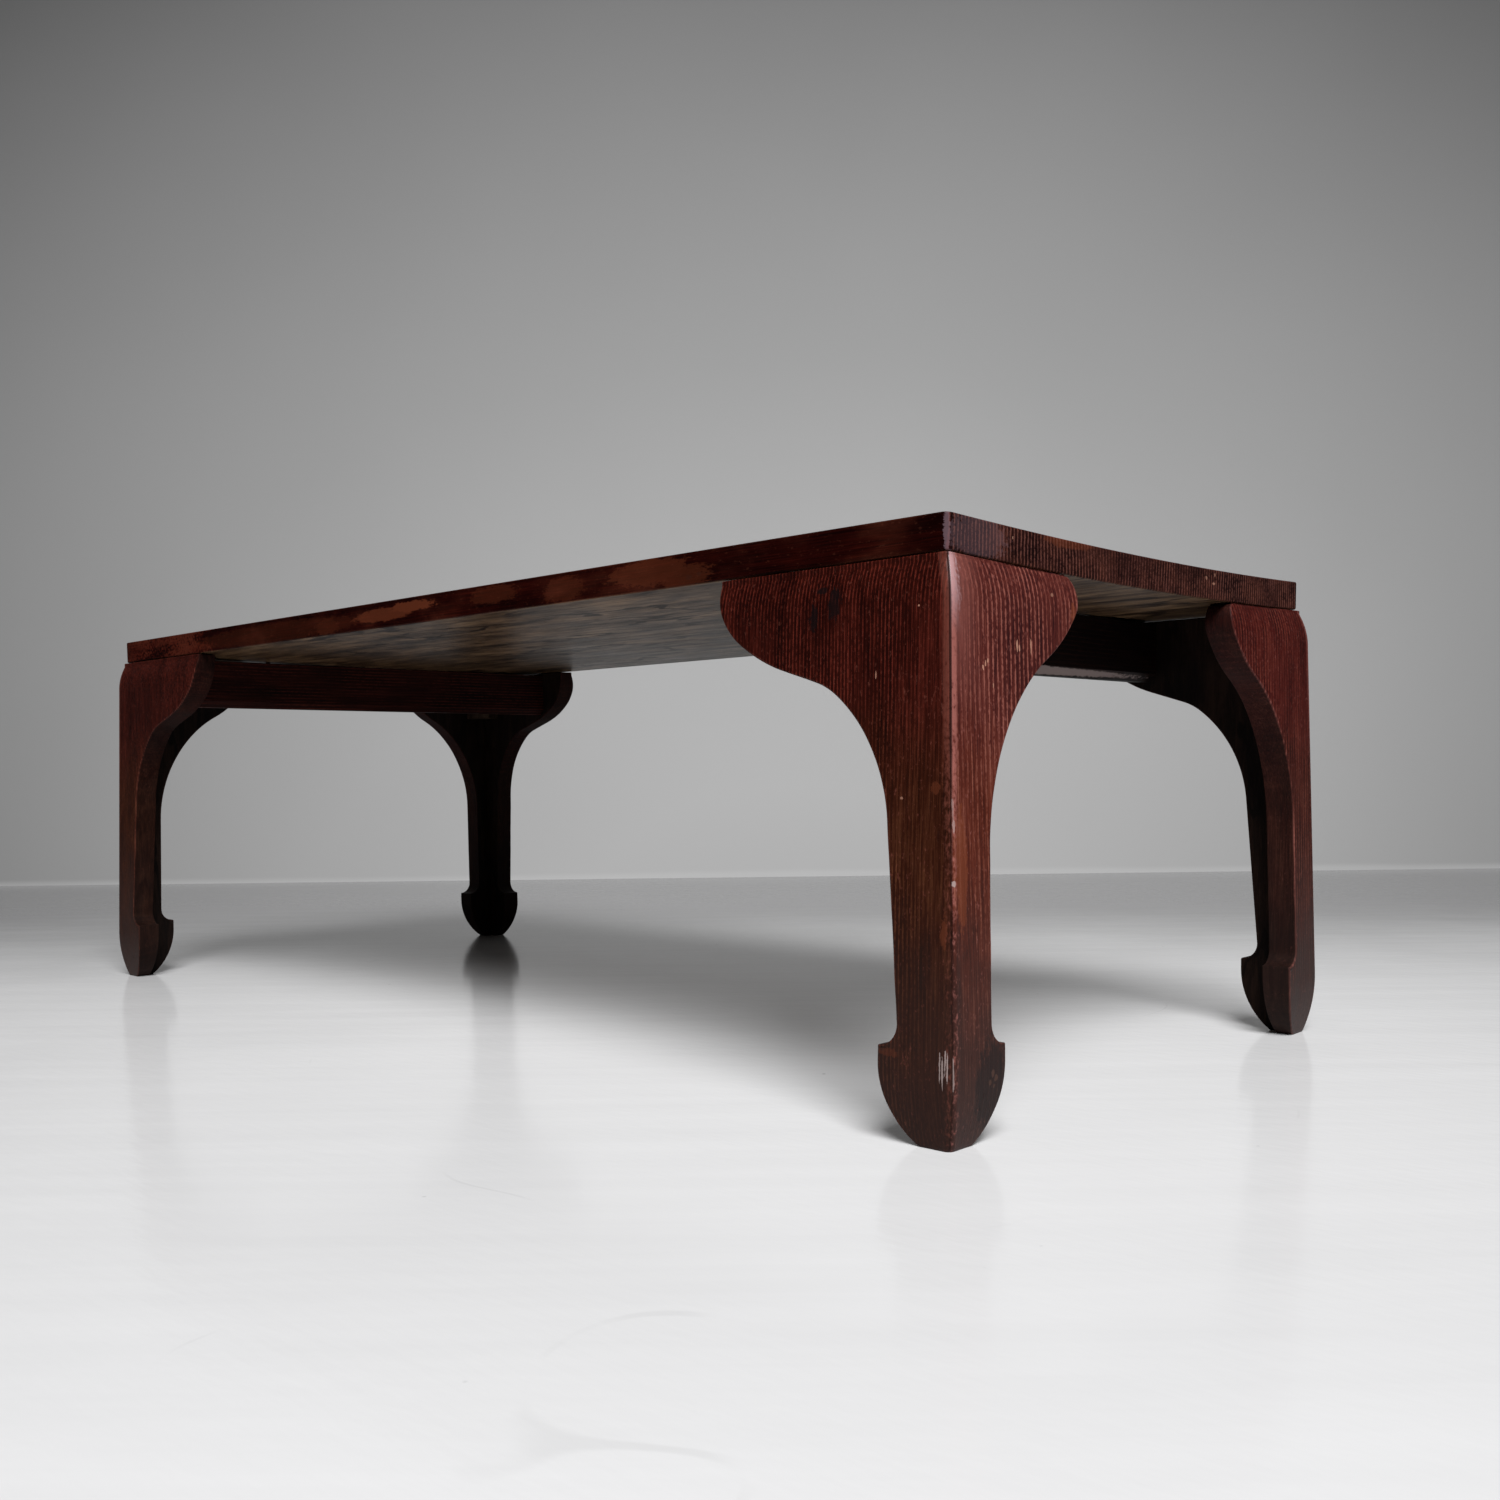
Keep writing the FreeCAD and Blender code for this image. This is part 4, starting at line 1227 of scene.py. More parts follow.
        stand = self.proud(min(height, SIZE.top_edge)) - inset
        radius = min(self.corner_radius, stand + self.corner_room)
        middle = -stand + radius
        seam = middle - (radius - self.seam_depth) * math.sqrt(0.5)
        put(seam, seam, height, 0.0, 0.0, 0.0)
        for turn in self.corner_turns:
            angle = math.radians(turn)
            put(
                middle + radius * math.cos(angle), middle + radius * math.sin(angle), height, 0.0, 0.0,
                radius * (angle - math.radians(225)),
            )
        wave_run, wave_height, wave_gap = ARRIS_WAVES
        swing = noise.noise(Vector((run * wave_run, height * wave_height, seed * wave_gap)))
        worn_radius = self.outer_arris * (ARRIS_MEAN + ARRIS_SWING * swing)
        edge_run = run + inset * way_run
        start = middle + self.support
        end = edge_run + (worn_radius + self.support) * way_run
        end_height = height + (worn_radius + self.support) * way_height
        for step in range(self.columns + 1):
            share = step / self.columns
            outer(
                start + share * (end - start), height + share ** 3 * (end_height - height), 0.0,
                max(0.0, self.beside_edge_worn - (1 - share) * self.worn_slope),
            )
        for turn, bare in zip(self.arris_turns, (0.0, 0.1, 0.3, self.edge_bare)):
            back = worn_radius * (1 - math.sin(math.radians(turn)))
            sunk = worn_radius * (1 - math.cos(math.radians(turn)))
            outer(edge_run + back * way_run, height + back * way_height, sunk, self.edge_worn, bare)
        inner = self.thickness - self.lean(height) - inset
        face = -self.proud(min(height, SIZE.top_edge)) + inset
        put(edge_run, face + worn_radius + self.support, height, self.beside_edge_worn, self.edge_bare)
        put(edge_run, face + self.middle_rows[0] * (inner - face), height, 0.0, self.edge_bare)
        half = len(points)
        small = self.inner_arris
        put(edge_run, face + self.middle_rows[1] * (inner - face), height, 0.0, self.edge_bare)
        put(edge_run, inner - small - self.support, height, self.beside_inner_edge_worn, self.edge_bare)
        for turn in reversed(self.arris_turns):
            back = small * (1 - math.sin(math.radians(turn)))
            sunk = small * (1 - math.cos(math.radians(turn)))
            put(edge_run, inner - sunk, height + back * way_height, self.inner_edge_worn, self.edge_bare)
        end = edge_run + (small + self.support) * way_run
        end_height = height + (small + self.support) * way_height
        # The inner face: wholly unlacquered, and so wholly in painted shade
        remaining = half * 2 - len(points)
        for step in range(remaining):
            share = step / (remaining - 1)
            at_height = end_height + share * (height - end_height)
            at_depth = self.thickness - self.lean(at_height) - inset
            put(end + share * (inner - end), at_depth, at_height, 0.0, 1.0)
        return points

    def _stubs(self, board: Board, base: int) -> tuple[list, list]:
        """The stub tenons that stand up into the top.

        Args:
            board: Which of the two boards.
            base: Number of the first point.

        Returns:
            Their points and faces.
        """
        middle = (self.thickness - self.lean(SIZE.leg_height)) / 2
        points, faces = [], []
        for place in STUB_PLACES[board]:
            start = base + len(points)
            for height in (SIZE.leg_height - self.stub_height, SIZE.top_edge + self.stub_height):
                for way_run, way_depth in ((-1, -1), (1, -1), (1, 1), (-1, 1)):
                    at_run = place + way_run * self.stub_length / 2
                    at_depth = middle + way_depth * self.stub_thickness / 2
                    points.append((at_run, at_depth, height, 0.0, FAR_FROM_CORNER, 1.0))
            faces += [tuple(start + corner for corner in face) for face in BOX_FACES]
        return points, faces

    @staticmethod
    def _placed(board: Board, corner: Corner, points: np.ndarray) -> np.ndarray:
        """Points in the table's frame.

        Args:
            board: Which of the two boards.
            corner: Signs of the corner's place along X and Y.
            points: Run, depth and height of each point.

        Returns:
            Their places along X, Y and Z.
        """
        run, depth, height = points.T
        inside_x, inside_y = (run, depth) if board is Board.SIDE else (depth, run)
        x = corner[0] * (SIZE.length / 2 - inside_x)
        y = corner[1] * (SIZE.width / 2 - inside_y)
        return np.stack([x, y, height], axis=1)


# Meshes that grow from trees

def measured(
    tree: bpy.types.GeometryNodeTree, lengths: Sequence[str], counts: Sequence[str], result: str
) -> tuple[Draft, dict[str, Term]]:
    """Gives a geometry tree its named inputs, its finish among them, and its output.

    Args:
        tree: The new tree.
        lengths: Names of the inputs that are lengths.
        counts: Names of the inputs that are whole numbers.
        result: Name of the output.

    Returns:
        The tree's draft, and the term of each input by its name.
    """
    kinds = dict.fromkeys(lengths, "NodeSocketFloat") | dict.fromkeys(counts, "NodeSocketInt")
    kinds["Finish"] = "NodeSocketMaterial"
    for name, kind in kinds.items():
        tree.interface.new_socket(name, in_out="INPUT", socket_type=kind)
    tree.interface.new_socket(result, in_out="OUTPUT", socket_type="NodeSocketGeometry")
    draft = Draft(tree)
    sizes = draft.add_node("NodeGroupInput").outputs
    return draft, {name: Term(draft, sizes[name]) for name in kinds}


def grown(name: str, tree: bpy.types.GeometryNodeTree, measures: dict) -> bpy.types.Mesh:
    """The plain mesh that a geometry tree makes.

    Args:
        name: Name for the mesh.
        tree: The tree.
        measures: Value of each of its inputs, by name.

    Returns:
        The mesh.
    """
    keys = {item.name: item.identifier for item in tree.interface.items_tree if item.in_out == "INPUT"}
    settings = {"node_group": tree}
    settings |= {keys[key]: value for key, value in measures.items()}
    return baked(name, bpy.data.meshes.new(f"{name}_start"), ("NODES", settings))


# The top

TOP_GRAIN = (0.3, 0.7, 1.9)
BOARD_GRAIN_GAP = 0.9


@dataclass(frozen=True)
class Top:
    """The two cupped boards of the top."""

    corner_round: float = 5.0
    arris: float = 1.2
    corner_steps: int = 6
    seam_arris: float = 0.4
    worn_reach: float = 3.0
    columns_along: int = 61
    columns_across: int = 13
    steps: int = 3

    def tree(self) -> bpy.types.GeometryNodeTree:
        """Draws the node tree that makes one cupped board.

        Returns:
            The tree, with named inputs for the board's measures.
        """
        tree = bpy.data.node_groups.new("cupped_board", "GeometryNodeTree")
        draft, term = measured(
            tree, ("Length", "Inner Edge", "Outer Edge", "Thickness", "Cup Radius", "Height"),
            ("Columns Along", "Columns Across"), "Board",
        )
        low, high, radius = term["Inner Edge"], term["Outer Edge"], term["Cup Radius"]
        grid = draft.add("GeometryNodeMeshGrid", None, {
            "Size X": term["Length"], "Size Y": draft.math("ABSOLUTE", high - low),
            "Vertices X": term["Columns Along"], "Vertices Y": term["Columns Across"],
        })
        place_x, place_y, _ = draft.parts(draft.add("GeometryNodeInputPosition"))
        across = place_y + (low + high) * 0.5
        rise = radius - (radius * radius - across * across) ** 0.5
        place = draft.joined(place_x, across, rise + term["Height"])
        under = draft.add("GeometryNodeSetPosition", None, {"Geometry": grid, "Position": place})
        upper = draft.add("GeometryNodeExtrudeMesh", {"mode": "FACES"}, {
            "Mesh": under, "Offset": draft.joined(0.0, 0.0, term["Thickness"]), "Offset Scale": 1.0,
            "Individual": False,
        })
        lower = draft.add("GeometryNodeFlipFaces", None, {"Mesh": under})
        both = draft.together(upper, lower)
        whole = draft.add("GeometryNodeMergeByDistance", None, {"Geometry": both, "Distance": SAME})
        plain = draft.add("GeometryNodeRealizeInstances", None, {"Geometry": whole})
        dressed = draft.add("GeometryNodeSetMaterial", None, {"Geometry": plain, "Material": term["Finish"]})
        draft.tree.links.new(dressed.socket, draft.add_node("NodeGroupOutput").inputs[0])
        return tree

    def plank(
        self, tree: bpy.types.GeometryNodeTree, name: str, edge: float, finish: bpy.types.Material
    ) -> bpy.types.Mesh:
        """One board of the top with its edges rounded.

        Args:
            tree: The tree that makes a cupped board.
            name: The board's name.
            edge: Place of its long outer edge across the table.
            finish: Its wood.

        Returns:
            The mesh, with its grain and worn edges stored.
        """
        measures = {
            "Length": SIZE.length * MM, "Inner Edge": SIZE.seam * MM, "Outer Edge": edge * MM,
            "Thickness": SIZE.top_thickness * MM, "Cup Radius": SIZE.cup_radius * MM,
            "Height": SIZE.leg_height * MM, "Columns Along": self.columns_along,
            "Columns Across": self.columns_across, "Finish": finish,
        }
        mesh = grown(name, tree, measures)

        def close_to(value: float, place: float) -> bool:
            """Whether a place in metres is one in millimetres."""
            return abs(value - place * MM) < CLOSE

        def upright_corner(line: bmesh.types.BMEdge) -> bool:
            """Whether an edge stands at a corner of the table.

            Args:
                line: The edge.

            Returns:
                True for an upright one at either end of the long outer edge.
            """
            ends = [end.co for end in line.verts]
            at_corner = all(close_to(end.y, edge) and close_to(abs(end.x), SIZE.length / 2) for end in ends)
            return at_corner and abs(ends[0].z - ends[1].z) > SIZE.top_thickness * MM / 2

        def in_seam(line: bmesh.types.BMEdge) -> bool:
            """Whether an edge lies along the seam."""
            return all(close_to(end.co.y, SIZE.seam) for end in line.verts)

        round_edges(mesh, self.corner_round, self.corner_steps, upright_corner)
        round_edges(mesh, self.arris, self.steps, lambda line: sharp(line) and not in_seam(line))
        round_edges(mesh, self.seam_arris, 1, lambda line: sharp(line) and in_seam(line))
        mesh = baked(name, mesh, weighted())
        points = mesh_points(mesh)
        x, y, z = points.T
        out = 1 if edge > SIZE.seam else -1
        grain_start = np.array(TOP_GRAIN) + np.array([0.0, 0.0, BOARD_GRAIN_GAP * out])
        store(mesh, "grain", np.stack([y, z, x], axis=1) + grain_start)
        rise = np.vectorize(SIZE.underside)(y / MM) * MM
        from_face = np.minimum(np.abs(z - rise), np.abs(z - rise - SIZE.top_thickness * MM))
        from_end = SIZE.length * MM / 2 - np.abs(x)
        from_rim = np.minimum(from_end, np.abs(edge * MM - y))
        arris = self.arris * MM
        store(mesh, "edge", np.clip(1 - (from_face + from_rim) / (self.worn_reach * MM), 0, 1))
        store(mesh, "bare", np.clip(from_rim / arris, 0, 1) * (np.abs(z - rise) < arris / 4))
        store(mesh, "end", np.clip(1 - from_end / arris, 0, 1))
        return mesh


# Rails, blocks and screws

@dataclass(frozen=True)
class SawnPiece:
    """A plain sawn piece, taken from its solid and given soft edges."""

    node: str
    arris: float = 0.7
    steps: int = 2

    def mesh(self, grain_axes: tuple[int, int, int], seed: int) -> bpy.types.Mesh:
        """The solid's own shape with its sharp edges rounded.

        Args:
            grain_axes: Axes of the table that run across, through and along the grain.
            seed: Number that tells this piece's wood from the others'.

        Returns:
            The mesh, with its grain and worn edges stored.
        """
        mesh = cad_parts[self.node].data.copy()
        shape = bmesh.new()
        shape.from_mesh(mesh)
        bmesh.ops.remove_doubles(shape, verts=shape.verts, dist=SAME)
        bmesh.ops.dissolve_limit(
            shape, angle_limit=FLAT, use_dissolve_boundaries=False, verts=shape.verts, edges=shape.edges,
        )
        shape.to_mesh(mesh)
        shape.free()
        bevel = {
            "width": self.arris * MM, "segments": self.steps, "limit_method": "ANGLE",
            "angle_limit": SHARP, "harden_normals": False,
        }
        mesh.shade_smooth()
        mesh = baked(self.node, mesh, ("BEVEL", bevel), weighted())
        points = mesh_points(mesh)
        store(mesh, "grain", points[:, list(grain_axes)] + GRAIN_OFFSET * seed)
        return mesh


@dataclass(frozen=True)
class RailScrews:
    """The screws that hold the top, heads up in the wells of the rails."""

    inset: float = 115.0
    pitch: float = 130.0
    count: int = 3
    diameter: float = 4.5
    head_diameter: float = 8.0
    head_height: float = 3.0
    slot_width: float = 1.1
    slot_depth: float = 1.3
    head_top: float = 279.7
    tip: float = 322.0
    facets: int = 24
    sharp_turn: float = 35.0
    seed: int = 4

    def tree(self) -> bpy.types.GeometryNodeTree:
        """Draws the node tree that sets slotted screws along both rails.

        Returns:
            The tree, with named inputs for the screws' measures.
        """
        tree = bpy.data.node_groups.new("rail_screws", "GeometryNodeTree")
        lengths = (
            "Rail Place", "Pitch", "Shank Radius", "Head Radius", "Head Height", "Slot Width", "Slot Depth",
            "Head Seat", "Tip",
        )
        draft, term = measured(tree, lengths, ("Count",), "Screws")
        seat, head_height = term["Head Seat"], term["Head Height"]
        head = self._cylinder(draft, term["Head Radius"], head_height, seat - head_height * 0.5)
        slot_place = draft.joined(0.0, 0.0, seat - head_height)
        slot_size = draft.joined(term["Head Radius"] * 2.5, term["Slot Width"], term["Slot Depth"] * 2.0)
        bar = draft.add("GeometryNodeMeshCube", None, {"Size": slot_size})
        bar = draft.add("GeometryNodeTransform", None, {"Geometry": bar, "Translation": slot_place})
        cut = draft.add_node("GeometryNodeMeshBoolean")
        cut.operation = "DIFFERENCE"
        draft.tree.links.new(head.socket, cut.inputs["Mesh 1"])
        draft.tree.links.new(bar.socket, cut.inputs["Mesh 2"])
        length = term["Tip"] - seat
        shank = self._cylinder(draft, term["Shank Radius"], length, seat + length * 0.5)
        screw = draft.together(Term(draft, cut.outputs["Mesh"]), shank)
        rows = []
        for side in (-1, 1):
            first = (term["Count"] - 1.0) * term["Pitch"] * -0.5
            start = draft.joined(term["Rail Place"] * side, first, 0.0)
            rows.append(draft.add("GeometryNodeMeshLine", {"mode": "OFFSET"}, {
                "Count": term["Count"], "Start Location": start,
                "Offset": draft.joined(0.0, term["Pitch"], 0.0),
            }))
        spots = draft.together(*rows)
        spread = {2: 0.0, 3: math.pi, "Seed": self.seed}
        turn = draft.add("FunctionNodeRandomValue", {"data_type": "FLOAT"}, spread, 1)
        placed = draft.add("GeometryNodeInstanceOnPoints", None, {
            "Points": spots, "Instance": screw, "Rotation": draft.joined(0.0, 0.0, turn),
        })
        real = draft.add("GeometryNodeRealizeInstances", None, {"Geometry": placed})
        dressed = draft.add("GeometryNodeSetMaterial", None, {"Geometry": real, "Material": term["Finish"]})
        draft.tree.links.new(dressed.socket, draft.add_node("NodeGroupOutput").inputs[0])
        return tree

    def _cylinder(self, draft: Draft, radius: Term, depth: Term, middle: Term) -> Term:
        """An upright cylinder about its middle.

        Args:
            draft: The tree's draft.
            radius: Its radius.
            depth: Its length.
            middle: Height of its middle.

        Returns:
            The cylinder's mesh.
        """
        round_bar = {"Vertices": self.facets, "Radius": radius, "Depth": depth}
        solid = draft.add("GeometryNodeMeshCylinder", None, round_bar)
        lift = draft.joined(0.0, 0.0, middle)
        return draft.add("GeometryNodeTransform", None, {"Geometry": solid, "Translation": lift})

    def mesh(self, finish: bpy.types.Material) -> bpy.types.Mesh:
        """All the screws as one mesh of separate solids.

        Args:
            finish: Their steel.

        Returns:
            The mesh.
        """
        measures = {
            "Rail Place": (SIZE.length / 2 - self.inset) * MM, "Pitch": self.pitch * MM,
            "Shank Radius": self.diameter / 2 * MM, "Head Radius": self.head_diameter / 2 * MM,
            "Head Height": self.head_height * MM, "Slot Width": self.slot_width * MM,
            "Slot Depth": self.slot_depth * MM, "Head Seat": self.head_top * MM, "Tip": self.tip * MM,
            "Count": self.count, "Finish": finish,
        }
        mesh = grown("rail_screws", self.tree(), measures)
        mesh.shade_smooth()
        mesh.set_sharp_from_angle(angle=math.radians(self.sharp_turn))
        return mesh


# Floor, wall, light and camera, with the paints read in metres

FLOOR_CLOUD = Cloud((2.2, 2.2, 1.0), 4.0, 0.6)
FLOOR_STREAKS = Cloud((2.4, 34.0, 1.0), 4.0, 0.65)
FLOOR_SPECKS = Cloud((60.0, 60.0, 1.0), 1.0)
SPECKS = Step(0.79, 0.83, 0.0, 0.5)
SCRATCH_PATH = Cloud((3.4, 3.4, 1.0), 1.0)
SCRATCH_LINE = Step(0.0026, 0.0008, 0.0, 0.12)
SCRATCH_BREAKS = Cloud((6.0, 6.0, 1.0), 3.0)
SCRATCHED = Step(0.58, 0.66)
# Where the floor's painted shade sets in, near the camera and near the wall
NEAR_CAMERA = Step(1.5, 2.2, 0.0, 0.5)
NEAR_WALL = Step(1.5, 0.7, 0.0, 0.75)
WALL_SHADE_SWAY = 0.3
FLOOR_RIPPLE = Cloud((45.0, 120.0, 1.0), 2.0)
WALL_CLOUD = Cloud((1.2, 1.2, 1.2), 3.0)
WALL_FOOT = Step(0.014, 0.002, 0.0, 0.3)
FOOT_SWAY = 0.02
GLOW_SWAY = 0.06
UNSEEN_DIMMING = 0.75


def grey(value: int) -> Colour:
    """A plain grey by its screen value."""
    return paint(value, value, value)


def off_grey(value: int) -> Colour:
    """A grey with a breath of blue in it, by its screen value."""
    return paint(value, value, value + 1)


@dataclass(frozen=True)
class Studio:
    """A pale floor and wall, a soft lamp, and the camera low at the near corner."""

    eye: Triple = (0.9253, -0.8430, 0.2037)
    yaw: float = 44.695
    pitch: float = -4.79
    roll: float = -0.678
    lens: float = 34.245
    shift_right: float = 0.0329
    shift_up: float = 0.0909
    film: float = 36.0
    clip: tuple[float, float] = (0.02, 60.0)
    wall_distance: float = 2.62
    floor_reach: float = 9.0
    wall_height: float = 6.0
    # The wall's painted pool of light: where it is palest, how far it reaches, and its greys
    glow_aside: float = 0.25
    glow_height: float = -0.2
    glow_reach: tuple[float, float] = (2.9, 2.2)
    glow: tuple[tuple[float, Colour], ...] = (
        (0.16, grey(200)), (0.33, grey(187)), (0.52, grey(160)), (0.71, grey(133)), (0.92, grey(92)),
        (1.0, grey(78)),
    )
    wall_foot: Colour = grey(225)
    wall_unseen: Colour = grey(50)
    floor_tones: tuple[tuple[float, Colour], ...] = ((0.35, off_grey(234)), (0.65, off_grey(243)))
    # Painted shade: the floor is darker near the camera and towards the wall
    floor_front: Colour = off_grey(203)
    floor_back: Colour = off_grey(112)
    floor_specks: Colour = grey(120)
    floor_scratches: Colour = grey(150)
    floor_roughness: tuple[float, float] = (0.08, 0.12)
    floor_gloss: float = 0.14
    ripple: float = 0.12
    lamp_place: Triple = (2.565, -1.957, 3.745)
    lamp_target: Triple = (0.0, 0.0, 0.1)
    lamp_side: float = 2.3
    lamp_power: float = 300.0

    def _axes(self) -> tuple[Vector, Vector, Vector]:
        """Directions of the camera.

        Returns:
            Right, up and forward.
        """
        yaw, pitch, roll = (math.radians(turn) for turn in (self.yaw, self.pitch, self.roll))
        level = math.cos(pitch)
        forward = Vector((-math.sin(yaw) * level, math.cos(yaw) * level, math.sin(pitch)))
        right = Vector((math.cos(yaw), math.sin(yaw), 0.0))
        up = right.cross(forward)
        return (
            right * math.cos(roll) + up * math.sin(roll),
            up * math.cos(roll) - right * math.sin(roll),
            forward,
        )

    def camera(self) -> None:
        """Sets the camera where the photographer stood."""
        right, up, forward = self._axes()
        lens = bpy.data.cameras.new("camera")
        lens.lens = self.lens
        lens.sensor_width = self.film
        lens.shift_x = self.shift_right
        lens.shift_y = self.shift_up
        lens.clip_start, lens.clip_end = self.clip
        camera = bpy.data.objects.new("camera", lens)
        turn = Matrix((right, up, -forward)).transposed()
        camera.matrix_world = Matrix.Translation(self.eye) @ turn.to_4x4()
        bpy.context.scene.collection.objects.link(camera)
        bpy.context.scene.camera = camera

    def floor_finish(self) -> bpy.types.Material:
        """Pale gloss floor paint with hair scratches and painted shade near the camera and towards the wall,
        clear from below.

        Returns:
            The finished material.
        """
        material, draft = new_material("pale_floor")
        place = draft.place()
        ahead, aside, foot = self._ground()
        run = draft.vector_math("DOT_PRODUCT", place, tuple(aside), output="Value")
        from_wall = foot.dot(ahead) - draft.vector_math("DOT_PRODUCT", place, tuple(ahead), output="Value")
        laid = draft.joined(run, from_wall, 0.0)
        cloud = draft.noise(place, FLOOR_CLOUD)
        cloudy = cloud * 0.5 + draft.noise(laid, FLOOR_STREAKS) * 0.5
        path = draft.math("ABSOLUTE", draft.noise(place, SCRATCH_PATH) - 0.5)
        scratch = draft.fade(path, SCRATCH_LINE) * draft.fade(draft.noise(place, SCRATCH_BREAKS), SCRATCHED)
        colour = draft.ramp(cloudy, *self.floor_tones)
        # Painted shade near the camera and towards the wall
        colour = draft.blend(draft.fade(from_wall, NEAR_CAMERA), colour, self.floor_front)
        near_wall = draft.fade(from_wall + cloud * WALL_SHADE_SWAY, NEAR_WALL)
        colour = draft.blend(near_wall, colour, self.floor_back)
        colour = draft.blend(scratch, colour, self.floor_scratches)
        colour = draft.blend(draft.fade(draft.noise(place, FLOOR_SPECKS), SPECKS), colour, self.floor_specks)
        least, swing = self.floor_roughness
        top = draft.add("ShaderNodeBsdfPrincipled", None, {
            "Base Color": colour, "Roughness": cloudy * swing + least, "Specular IOR Level": self.floor_gloss,
            "Normal": draft.bump(draft.noise(place, FLOOR_RIPPLE), self.ripple, 1.0),
        })
        clear = draft.add("ShaderNodeBsdfTransparent")
        side = draft.add("ShaderNodeNewGeometry", None, None, "Backfacing")
        close(draft, draft.add("ShaderNodeMixShader", None, {0: side, 1: top, 2: clear}))
        return material

    def wall_finish(self) -> bpy.types.Material:
        """Plain wall with a painted pool of light, palest low down behind the table and greyer away from
        there.

        Returns:
            The finished material.
        """
        material, draft = new_material("pale_wall")
        place = draft.place()
        _, aside, _ = self._ground()
        aside_of = draft.vector_math("DOT_PRODUCT", place, tuple(aside), output="Value") - self.glow_aside
        _, _, height = draft.parts(place)
        wide, tall = aside_of / self.glow_reach[0], (height - self.glow_height) / self.glow_reach[1]
        far = (wide * wide + tall * tall) ** 0.5
        cloud = draft.noise(place, WALL_CLOUD) - 0.5
        # The painted pool of light
        colour = draft.ramp(far + cloud * GLOW_SWAY, *self.glow)
        colour = draft.blend(draft.fade(height + cloud * FOOT_SWAY, WALL_FOOT), colour, self.wall_foot)
        colour = draft.blend((1.0 - self._seen(draft)) * UNSEEN_DIMMING, colour, self.wall_unseen)
        close(draft, draft.add("ShaderNodeBsdfPrincipled", None, {
            "Base Color": colour, "Roughness": 0.9, "Specular IOR Level": 0.1,
        }))
        return material

    @staticmethod
    def _seen(draft: Draft) -> Term:
        """Whether a ray shows the room itself: from the camera, off gloss or through glass.

        Args:
            draft: The draft of a wall or of the surroundings.

        Returns:
            One for such a ray, nought for the others.
        """
        camera = draft.add("ShaderNodeLightPath", None, None, "Is Camera Ray")
        rays = camera.socket.node.outputs
        off_gloss = draft.math("MAXIMUM", camera, Term(draft, rays["Is Glossy Ray"]))
        return draft.math("MAXIMUM", off_gloss, Term(draft, rays["Is Transmission Ray"]))

    def _ground(self) -> tuple[Vector, Vector, Vector]:
        """How the room lies on the floor.

        Returns:
            The directions ahead and to the right of the camera, and the wall's foot straight ahead.
        """
        yaw = math.radians(self.yaw)
        ahead = Vector((-math.sin(yaw), math.cos(yaw), 0.0))
        aside = Vector((math.cos(yaw), math.sin(yaw), 0.0))
        return ahead, aside, Vector((self.eye[0], self.eye[1], 0.0)) + ahead * self.wall_distance

    def room(self) -> None:
        """Lays the floor and stands the wall across the view."""
        ahead, aside, foot = self._ground()
        reach = self.floor_reach
        floor = [foot - aside * reach - ahead * reach * 1.5, foot + aside * reach - ahead * reach * 1.5]
        floor += [foot + aside * reach, foot - aside * reach]
        wall = [foot - aside * reach, foot + aside * reach]
        wall += [point + Vector((0.0, 0.0, self.wall_height)) for point in reversed(wall)]
        for name, corners, finish in (
            ("floor", floor, self.floor_finish()),
            ("wall", wall, self.wall_finish()),
        ):
            mesh = bpy.data.meshes.new(name)
            mesh.from_pydata([tuple(point) for point in corners], [], [(0, 1, 2, 3)])
            mesh.materials.append(finish)
            plane = bpy.data.objects.new(name, mesh)
            bpy.context.scene.collection.objects.link(plane)

    def light(self) -> None:
        """Hangs the one large soft lamp and sets the surroundings."""
        light = bpy.data.lights.new("window", "AREA")
        light.shape = "SQUARE"
        light.size = self.lamp_side
        light.energy = self.lamp_power
        lamp = bpy.data.objects.new("window", light)
        lamp.location = self.lamp_place
        lamp.rotation_mode = "QUATERNION"
        aim = Vector(self.lamp_target) - Vector(self.lamp_place)
        lamp.rotation_quaternion = aim.to_track_quat("-Z", "Y")
        bpy.context.scene.collection.objects.link(lamp)
        world = bpy.data.worlds.new("surroundings")
        world.use_nodes = True
        draft = Draft(world.node_tree)
        seen = self._seen(draft)
        dim = draft.add("ShaderNodeBackground", None, {"Color": grey(235), "Strength": 0.04})
        pale = draft.add("ShaderNodeBackground", None, {"Color": off_grey(100), "Strength": 1.0})
        mixed = draft.add("ShaderNodeMixShader", None, {0: seen, 1: dim, 2: pale})
        draft.tree.links.new(mixed.socket, draft.add_node("ShaderNodeOutputWorld").inputs[0])
        bpy.context.scene.world = world
        bpy.context.scene.view_settings.view_transform = "Standard"

    def build(self) -> None:
        """Sets up the room, the lamp and the camera."""
        self.room()
        self.light()
        self.camera()


# Finishes of this table

def tones(*values: tuple[int, int, int]) -> Tones:
    """Tones by their screen values, from furrow to crest."""
    return Tones(*(paint(*value) for value in values))
